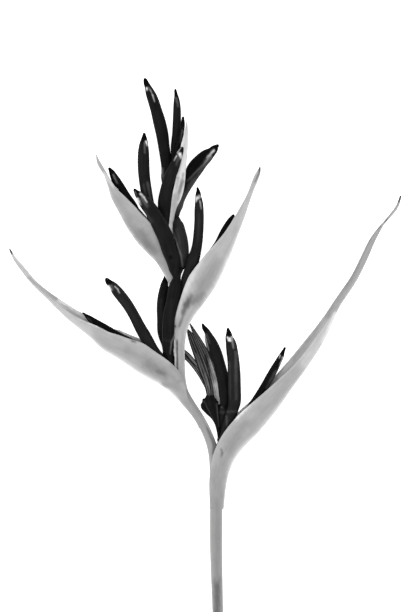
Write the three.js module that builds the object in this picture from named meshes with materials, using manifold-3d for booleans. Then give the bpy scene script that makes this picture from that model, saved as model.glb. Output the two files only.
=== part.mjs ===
// False bird of paradise (parrot heliconia): one cut flower head, lying on a surface.
// Millimetres, +Z up. The head lies flat with its tips towards +Y and its cut stem towards -Y.
// A zigzag stem carries five folded, boat-shaped bracts, and tubular flowers stand in each bract.

import * as THREE from 'three';
import { mergeVertices } from 'three/addons/utils/BufferGeometryUtils.js';
import Module from 'manifold-3d';

// Driving dimensions

const AXIS_HEIGHT = 6.3;
const CLEARANCE = 0.3;
const MERGE_DISTANCE = 1e-4;
const SURFACE = 0;
const UNDERGROUND_SIZE = 1000;

const STEM_SIDES = 10;
const STEM_RING_SPACING = 8;

const BRACT_WALL = 0.9;
const BRACT_TIP_WALL = 0.6;
const WALL_SHARE_OF_HALF_WIDTH = 0.7;
const BRACT_SECTION_STEPS = 6;
const BRACT_RING_SPACING = 5;
const FLANK_SPREAD = THREE.MathUtils.degToRad(100);
const FLAT_TIP_SPREAD = THREE.MathUtils.degToRad(50);
const DEEP_FLANK_RATIO = 1.3;

const FLOWER_SIDES = 8;
const FLOWER_RINGS_AT_TIP = [0, 1, 2.5, 5, 9];
const FLOWER_RING_SPACING = 8;
const OVARY_RING_SHARES = [0.35, 0.7, 0.93, 1];
const PEDICEL_RADIUS = 0.85;
const OVARY_LENGTH = 12;
const OVARY_SHARE = 0.86;
const WAIST_LENGTH = 3;
const FLOWER_DEPTH_SHARE = 0.94;
const TIP_ROUNDING = 4.3;
const TIP_RADIUS = 0.22;
const LOBE_RADIUS = 1.1;
const LOBE_RING_SHARES = [0, 0.3, 0.6, 0.85, 1];
const LOBE_SIDES = 6;

// Centre line and radius of the stem from its cut end to the last node: x, y, z, radius

const STEM = [
  [7.85, -153.5, 2.5, 2.65],
  [6.7, -113.5, 3.8, 2.75],
  [5.8, -82, 4.8, 3.1],
  [5.75, -60, 5.5, 3.2],
  [5.8, -45, 6.1, 3.3],
  [5.1, -37, 6.3, 3.1],
  [3.5, -30.5, 6.3, 2.5],
  [0.8, -23.5, 6.3, 2.4],
  [-1.9, -17.5, 6.2, 2.4],
  [-5.6, -10.5, 6.1, 2.4],
  [-9.3, -5, 6, 2.3],
  [-12.3, 0.5, 5.9, 2.1],
  [-13.2, 7, 5.8, 1.95],
  [-13.4, 17.5, 5.6, 1.85],
  [-13.4, 27.5, 5.4, 1.8],
  [-13.9, 38, 5.3, 1.75],
  [-14.9, 49, 5.2, 1.7],
  [-16, 60, 5.2, 1.6],
  [-16.8, 70, 5.2, 1.5],
  [-17, 78, 5.3, 1.4],
];

// Bracts, from the lowest up. Each station is a place on the keel, from the sheath round the
// stem to the tip: x, y, z, flank height, half width, roll of the opening in degrees.
// side is 1 where the bract opens to the left of its keel's direction, -1 to the right.

const BRACTS = {
  bract_1: {
    side: 1,
    stations: [
      [9.8, -52.5, 5.9, 5, 3.7, 0],
      [11.3, -45, 6.1, 7, 4, 0],
      [13.1, -39, 6.2, 11.2, 4.3, 0],
      [17.3, -32, 6.3, 12.1, 5.1, 0],
      [25.6, -23.6, 6.3, 12, 6.2, 0],
      [36.6, -11.2, 6.2, 11, 6.7, 2],
      [43, -2, 6.4, 8.8, 5.9, 6],
      [49.4, 7, 6.5, 8, 4.9, 18],
      [55.7, 15.9, 6.6, 7.8, 4.2, 27],
      [60.5, 24.5, 6.7, 6.2, 3.5, 31],
      [64, 32.5, 6.9, 4.3, 3, 33],
      [66.7, 38.5, 7.1, 3.2, 2.5, 50],
      [74.9, 52.2, 7.6, 3.1, 2.2, 57],
      [80.4, 63.8, 8, 3.3, 2, 60],
      [84.2, 71.7, 8.3, 2.8, 1.6, 60],
      [89.7, 81.5, 8.6, 1.2, 1.1, 60],
      [93.1, 84.9, 8.7, 0.8, 0.9, 60],
      [96, 89.6, 8.8, 0.6, 0.8, 60],
      [97.9, 94.6, 9, 0.3, 0.6, 60],
    ],
  },
  bract_2: {
    side: -1,
    stations: [
      [-4.4, -18, 6.15, 2.6, 3.1, 0],
      [-8, -14, 6.1, 4.6, 3.4, 0],
      [-11.3, -10.5, 6.1, 5.8, 3.8, 0],
      [-15.7, -4.7, 6.1, 8.8, 4.6, 0],
      [-20.2, -0.6, 5.9, 11, 5.4, 3],
      [-26, 2.9, 5.6, 12, 6.1, 6],
      [-32.3, 6.4, 5.2, 13, 6.5, 9],
      [-45.1, 14, 4.7, 12.8, 6.6, 11],
      [-51.5, 18.6, 4.6, 10.7, 6.2, 10],
      [-57.8, 23.7, 4.9, 8.8, 5.5, 16],
      [-68, 33, 5.6, 5.9, 4, 22],
      [-73.8, 38.7, 6.2, 3.9, 3, 26],
      [-78.9, 43.8, 6.7, 2.7, 2.4, 38],
      [-86.4, 51, 7.1, 1.9, 1.7, 47],
      [-92, 57.8, 7.5, 1.1, 1.2, 50],
      [-95.5, 63.8, 7.9, 0.7, 0.9, 50],
      [-97.9, 68.3, 8.3, 0.3, 0.6, 50],
    ],
  },
  bract_3: {
    side: 1,
    stations: [
      [-9.2, 1.5, 5.8, 2.6, 3, 0],
      [-10.4, 9.5, 5.7, 3.4, 3.1, 0],
      [-10.5, 19, 5.6, 3.9, 3.2, 0],
      [-9.5, 26.3, 5.5, 4.8, 3.5, 0],
      [-8.1, 30.9, 5.6, 6, 4, 0],
      [-5.8, 34.6, 5.8, 7.9, 4.6, 0],
      [-2.1, 40.1, 6, 10.8, 5.6, 0],
      [2.4, 46.6, 6.3, 13, 6.4, 0],
      [6.1, 53.1, 6.3, 12.2, 6.5, 0],
      [10.8, 62.3, 6.3, 10.5, 6, 0],
      [14.5, 70.7, 6.4, 7.5, 5, 0],
      [17.3, 77.5, 6.5, 6, 4, 0],
      [20.8, 87.4, 6.8, 3.6, 2.6, 0],
      [23.4, 95.3, 7, 2.2, 1.7, 0],
      [26.7, 103.2, 7.2, 2.2, 1.2, 0],
      [28, 107, 7.3, 1.5, 0.9, 0],
      [27.7, 109.5, 7.4, 0.4, 0.6, 0],
    ],
  },
  bract_4: {
    side: -1,
    stations: [
      [-17.2, 46, 5.2, 1.9, 2.6, 0],
      [-18.3, 50.3, 5.2, 2.6, 2.8, 0],
      [-20.1, 55.4, 5.4, 4.8, 3.7, 0],
      [-24.2, 61.3, 5.7, 8, 4.8, 0],
      [-31.1, 68.1, 6.2, 10.3, 6.3, 0],
      [-37.4, 76.4, 6.1, 10.6, 6.6, 3],
      [-41.7, 84.3, 6.4, 9, 5.7, 5],
      [-44.3, 90, 6.5, 7, 4.5, 5],
      [-46, 94.3, 6.7, 4.6, 3.2, 5],
      [-48.9, 100, 6.9, 2.6, 2, 0],
      [-50.4, 105, 7.1, 2, 1.4, 0],
      [-53.1, 110.8, 7.4, 1.2, 0.9, 0],
      [-54.3, 115, 7.6, 0.4, 0.6, 0],
    ],
  },
  bract_5: {
    side: 1,
    stations: [
      [-15.6, 75.5, 5.6, 2.2, 2.2, 0],
      [-15.2, 82, 6.2, 3.2, 2.4, 0],
      [-14.2, 87.2, 6.5, 4, 2.5, 0],
      [-11.9, 93.5, 6.8, 4.4, 2.6, 0],
      [-10.2, 101.5, 7, 4.5, 2.6, 0],
      [-9.3, 109.6, 7.2, 4, 2.3, 0],
      [-9.1, 117.5, 7.4, 2.8, 1.7, 0],
      [-8.7, 124.5, 7.6, 1.8, 1.1, 0],
      [-8.7, 132.2, 7.8, 0.4, 0.6, 0],
    ],
  },
};

// Flowers, named by their bract, those nearest the viewer first. Each spine runs from the
// root on the stem to the tip: x, y, rise above the axis height.
// tube is the length of the perianth and radius its greatest radius.

const FLOWERS = {
  flower_4_c: {
    tube: 44.5,
    radius: 3.9,
    ovary: 0.66,
    spine: [
      [-14.9, 45.5, 0.8],
      [-14.6, 50.5, 2.6],
      [-14.7, 57, 4],
      [-16, 62.2, 5.2],
      [-17.3, 67.5, 5.8],
      [-19.7, 74.3, 6.2],
      [-25.6, 84.9, 6.5],
      [-31, 92.5, 6.4],
      [-35.4, 98, 6.2],
    ],
    lobe: [[-28, 87.5, 6.8], [-31.4, 91, 7.2], [-33.7, 92.9, 7.4]],
  },
  flower_3_a: {
    tube: 36,
    radius: 2.55,
    ovary: 1,
    spine: [
      [-12.4, 30, 0.6],
      [-11.3, 38, 1.6],
      [-9.8, 48, 2.2],
      [-7.5, 57.3, 2.6],
      [-4.6, 68, 2.8],
      [-3.1, 82, 2.6],
      [-3.4, 94.5, 2.3],
      [-3.9, 99, 2.2],
    ],
  },
  flower_5_d: {
    tube: 42,
    radius: 3.15,
    spine: [
      [-17, 68.5, -0.6],
      [-18.6, 73, -0.6],
      [-19.5, 78, -0.2],
      [-20, 84, 0.9],
      [-20, 89, 2.1],
      [-19.6, 94, 3],
      [-18.2, 102, 3.7],
      [-15.7, 110, 4],
      [-11.2, 119.2, 4],
    ],
  },
  flower_2_d: {
    tube: 42,
    radius: 3.1,
    ovary: 0.75,
    spine: [
      [-14.2, 8, 1.2],
      [-17.4, 13, 2.5],
      [-18.2, 19.5, 3],
      [-18, 28, 3.3],
      [-17.2, 36, 3.3],
      [-15.2, 44.5, 3.2],
      [-13.7, 49, 3.3],
      [-10.5, 56.5, 3.4],
    ],
  },
  flower_1_a: {
    tube: 40,
    radius: 3.2,
    ovary: 0.92,
    spine: [
      [4.8, -32.5, 1.2],
      [8.6, -24.6, 1.6],
      [12.4, -16.5, 2],
      [14.3, -8, 2.4],
      [14.7, 2, 2.6],
      [14, 13.2, 2.6],
      [12.6, 23, 2.2],
      [11.5, 28.5, 2],
    ],
  },
  flower_4_d: {
    tube: 24,
    radius: 3.5,
    ovary: 0.62,
    spine: [
      [-14.2, 52.5, 0.4],
      [-12.6, 57.5, 0.6],
      [-11, 63, 0.8],
      [-12, 73, 0.8],
      [-13.5, 81.5, 0.8],
      [-13.8, 84.2, 0.8],
    ],
  },
  flower_4_b: {
    tube: 46.5,
    radius: 2.9,
    spine: [
      [-15.6, 53, 0.6],
      [-18.5, 59, 0.6],
      [-22, 67, 0.2],
      [-25.2, 76, 0],
      [-28.3, 90, -0.2],
      [-30.4, 103.2, -0.2],
      [-30.9, 117, 0],
      [-30.3, 126.2, 0],
    ],
  },
  flower_2_a: {
    tube: 47,
    radius: 3,
    spine: [
      [-12, 2.5, 0.9],
      [-17.5, 7, 0.9],
      [-24.7, 15.5, 0.8],
      [-31.9, 28.1, 0.8],
      [-35.8, 36.5, 0.8],
      [-43.9, 46.6, 0.9],
      [-49.3, 53.2, 1],
    ],
  },
  flower_1_b: {
    tube: 43,
    radius: 3,
    ovary: 0.92,
    spine: [
      [4.5, -30.5, -0.9],
      [7.4, -21, -0.9],
      [9.2, -6, -0.6],
      [8.8, 3, -0.6],
      [6.4, 13.5, -0.4],
      [2.2, 23.7, 0],
      [-1.2, 30.7, 0.3],
    ],
    lobe: [[4.6, 12, 0.6], [1.5, 19, 1.2], [-0.2, 24.6, 1.4]],
  },
  flower_2_c: {
    tube: 38.5,
    radius: 3.3,
    spine: [
      [-13, 6.5, -1.3],
      [-16.5, 11.5, -1.8],
      [-18.8, 18.5, -2.1],
      [-20.9, 32.5, -2.1],
      [-21.1, 45, -1.8],
      [-19.9, 55.2, -1.5],
    ],
  },
  flower_1_c: {
    tube: 43,
    radius: 2.5,
    spine: [
      [5, -33.5, -1],
      [10.5, -25.5, -1.2],
      [17, -18, -1],
      [25.3, -7.5, -0.6],
      [33.4, 4.5, -0.3],
      [38.6, 14.7, 0],
      [40.1, 19, 0],
    ],
  },
  flower_2_b: {
    tube: 44,
    radius: 2.5,
    spine: [
      [-12.5, -0.5, -1],
      [-20, 6.5, -1.8],
      [-27, 12.5, -2],
      [-34, 18.5, -1.8],
      [-45, 25.9, -1.4],
      [-55, 31.2, -1],
      [-61.4, 36.2, -0.8],
    ],
  },
  flower_3_b: {
    tube: 40.5,
    radius: 2.5,
    spine: [
      [-12, 33, -0.8],
      [-9, 40.5, -0.8],
      [-2.5, 53.5, -0.4],
      [3.5, 65.4, -0.2],
      [9.2, 76, 0],
      [14.2, 85, 0],
    ],
  },
  flower_4_a: {
    tube: 44,
    radius: 2.4,
    spine: [
      [-15.2, 51.5, -1.2],
      [-19, 58.5, -1.8],
      [-23.5, 65, -2],
      [-32.2, 82, -2.2],
      [-40, 95, -1.6],
      [-45.7, 105, -0.8],
      [-48, 108.5, -0.6],
    ],
  },
  flower_5_c: {
    tube: 36,
    radius: 2,
    spine: [
      [-16.1, 77.5, -0.2],
      [-15.8, 88, -0.2],
      [-15.2, 97, 0],
      [-14.8, 106, 0.4],
      [-14, 115, 0.8],
      [-10.7, 134.2, 1],
    ],
  },
  flower_5_b: {
    tube: 44,
    radius: 2.3,
    spine: [
      [-16.8, 77, -0.9],
      [-16.6, 88, -0.9],
      [-15.8, 98, -1.6],
      [-14.4, 115, -2.3],
      [-14, 132.5, -2.4],
      [-14.8, 148, -2.3],
    ],
  },
  flower_5_a: {
    tube: 49.5,
    radius: 2.9,
    spine: [
      [-17.2, 77, -1.2],
      [-17.8, 86, -1.8],
      [-18.5, 95, -2.3],
      [-19.4, 110, -2.2],
      [-22.3, 128.7, -1.8],
      [-26, 141.3, -1.6],
      [-30.2, 153.5, -1.5],
    ],
  },
  flower_5_e: {
    tube: 40,
    radius: 3.6,
    ovary: 0.7,
    spine: [
      [-16.4, 77, -1.6],
      [-15.2, 86, -2],
      [-13, 93, -2.4],
      [-10.2, 100.3, -2.6],
      [-5.2, 108.2, -2.6],
      [0.3, 114.5, -2.5],
      [6.7, 120.2, -2.4],
    ],
  },
};

// The withered flower: its ovary, x, y, rise, radius, and the three shrivelled strips that are
// left of its perianth, x, y, rise, half width

const WITHERED_NAME = 'flower_1_withered';
const WITHERED_OVARY = [
  [5.2, -31, 1.2, 0.8],
  [6.7, -26, 1.2, 1],
  [5.6, -20.5, 0.8, 1.9],
  [3.4, -14, 0, 2.6],
  [1, -7.2, -0.8, 3.1],
];
const STRIP_HALF_THICKNESS = 0.5;
const STRIP_SIDES = 6;
const WITHERED_RINGS_PER_ROW = 2;
const WITHERED_STRIPS = [
  [
    [4, -9, -1.2, 1.5],
    [4.4, 0, -2, 1.9],
    [3, 7.5, -2.2, 2],
    [0.5, 15, -2.4, 2],
    [-2.8, 21.5, -2.6, 1.6],
    [-5.9, 27.5, -2.8, 0.9],
    [-7.7, 31, -3, 0.4],
  ],
  [
    [1.9, -9, -1.4, 1.4],
    [1.2, 0, -2.4, 2.3],
    [-0.7, 7.5, -2.8, 2.5],
    [-3.1, 14.5, -3, 2.4],
    [-5.4, 20, -3.2, 1.8],
    [-7.7, 25, -3.4, 0.9],
    [-8.9, 27.8, -3.5, 0.4],
  ],
  [
    [1.4, -9, -1.2, 1.1],
    [1, -2.5, -2.4, 1.2],
    [-0.9, 1.7, -3.2, 1.3],
    [-3.6, 7, -4, 1.6],
    [-6.6, 11.5, -4.6, 1.8],
    [-10.2, 15.5, -4.9, 1.8],
    [-14, 19, -5, 0.8],
  ],
];

// Materials: the photograph is in black and white, so the colours are its greys

const STEM_LOOK = { color: 0xa9a9a9, roughness: 0.5, metalness: 0 };
const BRACT_LOOK = { color: 0xbdbdbd, roughness: 0.45, metalness: 0 };
const FLOWER_LOOK = { color: 0x1d1d1d, roughness: 0.35, metalness: 0 };
const WITHERED_LOOK = { color: 0x3a3a3a, roughness: 0.7, metalness: 0 };

const wasm = await Module();
wasm.setup();

// Curves and closed surfaces

function curveThrough(rows) {
  return new THREE.CatmullRomCurve3(rows.map(([x, y, z]) => new THREE.Vector3(x, y, z)));
}

// A vector in the viewing plane, square to the direction of growth and to its left.
function leftOf(direction) {
  return new THREE.Vector3(-direction.y, direction.x, 0).normalize();
}

function signedVolume(positions, faces) {
  const [a, b, c] = [new THREE.Vector3(), new THREE.Vector3(), new THREE.Vector3()];
  let volume = 0;
  for (let i = 0; i < faces.length; i += 3) {
    a.fromArray(positions, 3 * faces[i]);
    b.fromArray(positions, 3 * faces[i + 1]);
    c.fromArray(positions, 3 * faces[i + 2]);
    volume += a.dot(b.cross(c)) / 6;
  }
  return volume;
}

function closedGeometry(points, faces) {
  const positions = points.flatMap((point) => point.toArray());
  if (signedVolume(positions, faces) < 0) {
    faces.reverse();
  }
  const geometry = new THREE.BufferGeometry();
  geometry.setAttribute('position', new THREE.Float32BufferAttribute(positions, 3));
  geometry.setIndex(faces);
  return geometry;
}

// The wall between equal rings of points, one after the other.
function wallFaces(ringCount, ringSize) {
  const faces = [];
  for (let ring = 0; ring + 1 < ringCount; ring += 1) {
    for (let i = 0; i < ringSize; i += 1) {
      const here = ring * ringSize + i;
      const next = ring * ringSize + ((i + 1) % ringSize);
      faces.push(here, next, here + ringSize);
      faces.push(next, next + ringSize, here + ringSize);
    }
  }
  return faces;
}

// A solid rod through convex rings, each end closed by a fan about its middle point.
function rodGeometry(rings, ends) {
  const ringSize = rings[0].length;
  const faces = wallFaces(rings.length, ringSize);
  const lastRing = (rings.length - 1) * ringSize;
  const startPoint = rings.length * ringSize;
  for (let i = 0; i < ringSize; i += 1) {
    const next = (i + 1) % ringSize;
    faces.push(startPoint, next, i);
    faces.push(startPoint + 1, lastRing + i, lastRing + next);
  }
  return closedGeometry([...rings.flat(), ...ends], faces);
}

// An ellipse of points round a place on a curve, wide in the viewing plane and deep along Z.
function ellipseRing(centre, tangent, halfWidth, halfDepth, sides) {
  const across = leftOf(tangent);
  const up = new THREE.Vector3().crossVectors(tangent, across).normalize();
  const ring = [];
  for (let i = 0; i < sides; i += 1) {
    const angle = (2 * Math.PI * (i + 0.5)) / sides;
    const point = centre.clone();
    point.addScaledVector(across, halfWidth * Math.cos(angle));
    point.addScaledVector(up, halfDepth * Math.sin(angle));
    ring.push(point);
  }
  return ring;
}

// A rod along a curve. sizeAt gives half width and half depth at a share of the curve's length.
function rodAlong(curve, shares, sizeAt, sides) {
  const rings = shares.map((share) => {
    const [halfWidth, halfDepth] = sizeAt(share);
    return ellipseRing(curve.getPointAt(share), curve.getTangentAt(share), halfWidth, halfDepth, sides);
  });
  const ends = [curve.getPointAt(shares[0]), curve.getPointAt(shares[shares.length - 1])];
  return rodGeometry(rings, ends);
}

// Solids: joins and cuts

function solidOf(geometry) {
  const merged = mergeVertices(geometry, MERGE_DISTANCE);
  const mesh = new wasm.Mesh({
    numProp: 3,
    vertProperties: new Float32Array(merged.attributes.position.array),
    triVerts: new Uint32Array(merged.index.array),
  });
  return new wasm.Manifold(mesh);
}

function geometryOf(solid) {
  const mesh = solid.getMesh();
  const geometry = new THREE.BufferGeometry();
  geometry.setAttribute('position', new THREE.BufferAttribute(mesh.vertProperties, 3));
  geometry.setIndex(new THREE.BufferAttribute(mesh.triVerts, 1));
  geometry.computeVertexNormals();
  return geometry;
}

function boxesMeet(one, other) {
  const [a, b] = [one.boundingBox(), other.boundingBox()];
  return [0, 1, 2].every((axis) => a.min[axis] <= b.max[axis] && b.min[axis] <= a.max[axis]);
}

function largestPiece(solid) {
  const pieces = solid.decompose();
  return pieces.reduce((best, piece) => (piece.volume() > best.volume() ? piece : best));
}

// Everything below the surface that the flower head lies on.
function underground() {
  const geometry = new THREE.BoxGeometry(UNDERGROUND_SIZE, UNDERGROUND_SIZE, UNDERGROUND_SIZE);
  geometry.translate(0, 0, SURFACE - UNDERGROUND_SIZE / 2);
  geometry.deleteAttribute('normal');
  geometry.deleteAttribute('uv');
  return solidOf(geometry);
}

// Stem

function stemGeometry(grow) {
  const curve = curveThrough(STEM);
  const radii = new THREE.CatmullRomCurve3(STEM.map((row) => new THREE.Vector3(row[3], 0, 0)));
  const steps = Math.round(curve.getLength() / STEM_RING_SPACING);
  const shares = Array.from({ length: steps + 1 }, (_, i) => i / steps);
  const sizeAt = (share) => {
    const radius = radii.getPoint(curve.getUtoTmapping(share)).x + grow;
    return [radius, radius];
  };
  return rodAlong(curve, shares, sizeAt, STEM_SIDES);
}

// Bracts

// The folded section of a bract: points of the outer face from one margin round the keel to the
// other, then the inner face back. Each is the place to the side of the keel and the height.
function bractSection(height, halfWidth, grow) {
  const depth = Math.min(1, height / (DEEP_FLANK_RATIO * halfWidth));
  const spread = THREE.MathUtils.lerp(FLAT_TIP_SPREAD, FLANK_SPREAD, depth);
  const wall = THREE.MathUtils.clamp(WALL_SHARE_OF_HALF_WIDTH * halfWidth, BRACT_TIP_WALL, BRACT_WALL) + 2 * grow;
  const width = halfWidth + grow;
  const rise = (height + 2 * grow) / (1 - Math.cos(spread));
  const outer = [];
  const inner = [];
  for (let i = 0; i <= BRACT_SECTION_STEPS; i += 1) {
    const angle = spread * ((2 * i) / BRACT_SECTION_STEPS - 1);
    const side = width * Math.sin(angle);
    const up = rise * (1 - Math.cos(angle)) - grow;
    const inward = new THREE.Vector2(-rise * Math.sin(angle), width * Math.cos(angle)).normalize();
    outer.push([side, up]);
    inner.push([side + wall * inward.x, up + wall * inward.y]);
  }
  return [...outer, ...inner.reverse()];
}

function bractRing(station, tangent, side, grow) {
  const [keel, shape] = station;
  const roll = THREE.MathUtils.degToRad(shape.z);
  const opening = leftOf(tangent).multiplyScalar(side);
  const near = new THREE.Vector3(0, 0, 1);
  const up = opening.clone().multiplyScalar(Math.cos(roll)).addScaledVector(near, Math.sin(roll));
  const across = near.multiplyScalar(Math.cos(roll)).addScaledVector(opening, -Math.sin(roll));
  return bractSection(shape.x, shape.y, grow).map(([sideways, height]) => {
    const point = keel.clone();
    point.addScaledVector(across, sideways);
    point.addScaledVector(up, height);
    return point;
  });
}

function bractGeometry({ side, stations }, grow) {
  const keel = curveThrough(stations);
  const shapes = curveThrough(stations.map((row) => row.slice(3)));
  const steps = Math.round(keel.getLength() / BRACT_RING_SPACING);
  const rings = [];
  for (let i = 0; i <= steps; i += 1) {
    const place = keel.getUtoTmapping(i / steps);
    const station = [keel.getPoint(place), shapes.getPoint(place)];
    rings.push(bractRing(station, keel.getTangent(place), side, grow));
  }
  const ringSize = rings[0].length;
  const faces = wallFaces(rings.length, ringSize);
  const lastRing = (rings.length - 1) * ringSize;
  for (let i = 0; i < BRACT_SECTION_STEPS; i += 1) {
    const [a, b] = [i, i + 1];
    const [c, d] = [ringSize - 2 - i, ringSize - 1 - i];
    faces.push(a, d, b, b, d, c);
    faces.push(lastRing + a, lastRing + b, lastRing + d);
    faces.push(lastRing + b, lastRing + c, lastRing + d);
  }
  return closedGeometry(rings.flat(), faces);
}

// Flowers

// The radius at a distance from the tip: pointed tip, tube, ovary and thin pedicel.
function flowerRadius(fromTip, { tube, radius, ovary = OVARY_SHARE }) {
  if (fromTip <= tube) {
    const pointed = 1 - Math.exp(-fromTip / TIP_ROUNDING);
    const waisted = 1 - (1 - ovary) * Math.exp(-(tube - fromTip) / WAIST_LENGTH);
    return Math.max(TIP_RADIUS, radius * pointed * waisted);
  }
  const along = Math.min(1, (fromTip - tube) / OVARY_LENGTH);
  return Math.max(PEDICEL_RADIUS, radius * ovary * Math.sqrt(1 - along * along));
}

// Even steps of about the ring spacing from just after one distance up to another.
function evenSteps(from, to) {
  const count = Math.max(1, Math.round((to - from) / FLOWER_RING_SPACING));
  return Array.from({ length: count }, (_, i) => from + ((to - from) * (i + 1)) / count);
}

// Distances from the tip at which a flower gets a ring of points.
function flowerStations(length, tube) {
  const tubeStart = FLOWER_RINGS_AT_TIP[FLOWER_RINGS_AT_TIP.length - 1];
  const tubeRings = evenSteps(tubeStart, tube);
  const ovaryRings = OVARY_RING_SHARES.map((share) => tube + share * OVARY_LENGTH);
  const pedicelRings = evenSteps(tube + OVARY_LENGTH, length);
  const all = [...FLOWER_RINGS_AT_TIP, ...tubeRings, ...ovaryRings, ...pedicelRings];
  return all.filter((distance) => distance <= length);
}

function flowerGeometry(flower, grow) {
  const curve = curveThrough(flower.spine.map(([x, y, rise]) => [x, y, AXIS_HEIGHT + rise]));
  const length = curve.getLength();
  const shares = flowerStations(length, flower.tube).map((distance) => 1 - distance / length);
  const sizeAt = (share) => {
    const size = flowerRadius((1 - share) * length, flower);
    return [size + grow, size * FLOWER_DEPTH_SHARE + grow];
  };
  return rodAlong(curve, shares, sizeAt, FLOWER_SIDES);
}

function lobeGeometry(points, grow) {
  const curve = curveThrough(points.map(([x, y, rise]) => [x, y, AXIS_HEIGHT + rise]));
  const sizeAt = (share) => {
    const size = THREE.MathUtils.lerp(LOBE_RADIUS, TIP_RADIUS, share) + grow;
    return [size, size];
  };
  return rodAlong(curve, LOBE_RING_SHARES, sizeAt, LOBE_SIDES);
}

function flowerSolid(flower, grow) {
  const tube = solidOf(flowerGeometry(flower, grow));
  if (!flower.lobe) {
    return tube;
  }
  return tube.add(solidOf(lobeGeometry(flower.lobe, grow)));
}

// Withered flower

// A flat or round rod through rows of x, y, rise and half width.
function taperedRod(rows, halfDepthOf, sides) {
  const curve = curveThrough(rows.map(([x, y, rise]) => [x, y, AXIS_HEIGHT + rise]));
  const widths = new THREE.CatmullRomCurve3(rows.map((row) => new THREE.Vector3(row[3], 0, 0)));
  const steps = (rows.length - 1) * WITHERED_RINGS_PER_ROW;
  const rings = [];
  for (let i = 0; i <= steps; i += 1) {
    const place = i / steps;
    const halfWidth = widths.getPoint(place).x;
    const halfDepth = halfDepthOf(halfWidth);
    rings.push(ellipseRing(curve.getPoint(place), curve.getTangent(place), halfWidth, halfDepth, sides));
  }
  return rodGeometry(rings, [curve.getPoint(0), curve.getPoint(1)]);
}

function witheredSolid(grow) {
  const widen = (rows) => rows.map(([x, y, rise, size]) => [x, y, rise, size + grow]);
  const ovary = solidOf(taperedRod(widen(WITHERED_OVARY), (radius) => radius, FLOWER_SIDES));
  const thickness = () => STRIP_HALF_THICKNESS + grow;
  const strips = WITHERED_STRIPS.map((rows) => {
    return solidOf(taperedRod(widen(rows), thickness, STRIP_SIDES));
  });
  return strips.reduce((whole, strip) => whole.add(strip), ovary);
}

// Assembly: each piece is cut back from the pieces before it, so that a thin gap stays between

const pieces = [
  { name: 'stem', look: STEM_LOOK, build: (grow) => solidOf(stemGeometry(grow)) },
  ...Object.entries(BRACTS).map(([name, bract]) => ({
    name,
    look: BRACT_LOOK,
    build: (grow) => solidOf(bractGeometry(bract, grow)),
  })),
  ...Object.entries(FLOWERS).map(([name, flower]) => ({
    name,
    look: FLOWER_LOOK,
    build: (grow) => flowerSolid(flower, grow),
  })),
  { name: WITHERED_NAME, look: WITHERED_LOOK, build: witheredSolid },
];

function meshOf(name, look, solid) {
  const mesh = new THREE.Mesh(geometryOf(solid), new THREE.MeshStandardMaterial(look));
  mesh.name = name;
  return mesh;
}

const flowerHead = new THREE.Group();
flowerHead.name = 'flower_head';

const taken = [];
const ground = underground();
for (const { name, look, build } of pieces) {
  let solid = build(0);
  for (const neighbour of taken) {
    if (boxesMeet(solid, neighbour)) {
      solid = solid.subtract(neighbour);
    }
  }
  solid = largestPiece(solid.subtract(ground));
  flowerHead.add(meshOf(name, look, solid));
  taken.push(build(CLEARANCE));
}

export default flowerHead;
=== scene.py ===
import math

import bpy
import numpy as np
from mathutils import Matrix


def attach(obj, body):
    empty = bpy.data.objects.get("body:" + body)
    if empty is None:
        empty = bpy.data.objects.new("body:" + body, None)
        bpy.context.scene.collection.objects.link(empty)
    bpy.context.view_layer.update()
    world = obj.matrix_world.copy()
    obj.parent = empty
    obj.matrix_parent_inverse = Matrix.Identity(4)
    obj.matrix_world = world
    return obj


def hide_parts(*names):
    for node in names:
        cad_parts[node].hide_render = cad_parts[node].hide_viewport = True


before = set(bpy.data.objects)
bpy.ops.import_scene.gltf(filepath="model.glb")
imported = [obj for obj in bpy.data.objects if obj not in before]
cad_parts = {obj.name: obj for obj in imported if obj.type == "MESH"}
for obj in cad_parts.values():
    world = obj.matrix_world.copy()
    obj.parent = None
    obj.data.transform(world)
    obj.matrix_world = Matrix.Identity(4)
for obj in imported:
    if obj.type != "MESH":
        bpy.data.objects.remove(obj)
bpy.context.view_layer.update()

# Parrot heliconia flower head, lying on a pale surface and seen from straight above.
# Places and sizes of the plant are in millimetres until a mesh is made, those of the stage are in
# metres. Marks are placed in the photograph's pixels. Greys are the photograph's, 0 to 255.

MM = 0.001
TINY = 1e-12
PIXEL = 0.5  # millimetres
PHOTO_ORIGIN = (205, 385)  # the pixel at x = y = 0
AXIS_HEIGHT = 6.3  # the height that the rise of a flower counts from

CURVE_STEPS = 40  # between two rows of a table
SOFTEN_REACH = 3  # in widths of the smoothing bell

# How much light a level white surface sends back: greys of the photograph are divided by it.
LIGHT = 1.22

MARK_EDGE = 2.4
MARK_FADE = 0.35  # share of its strength that a mark loses to its far end
MARK_WAVER = 0.35
FULL_WAVER_WIDTH = 4  # half width from which a mark's edge wavers in full
WAVER_X = ((0.9, 1.3), (-1.1, 0.5))  # radians for each pixel across and down
WAVER_Y = ((1.1, -0.6), (0.4, 0.8))

ROD_SIDES = 52  # of the stem and the flowers

STEM_RING_SPACING = 1.2
STEM_SOFTEN = 2.5
STEM_RIDGES = ((0.012, 7, 0.6),)  # waves round a rod: depth, count, phase
STEM_GREY = 156
CUT_RINGS = (0.3, 0.55, 0.8, 0.93, 0.985)  # shares of the radius
CUT_GREYS = (120, 165, 178, 165, 140)
CUT_BEVEL = 0.08

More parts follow.
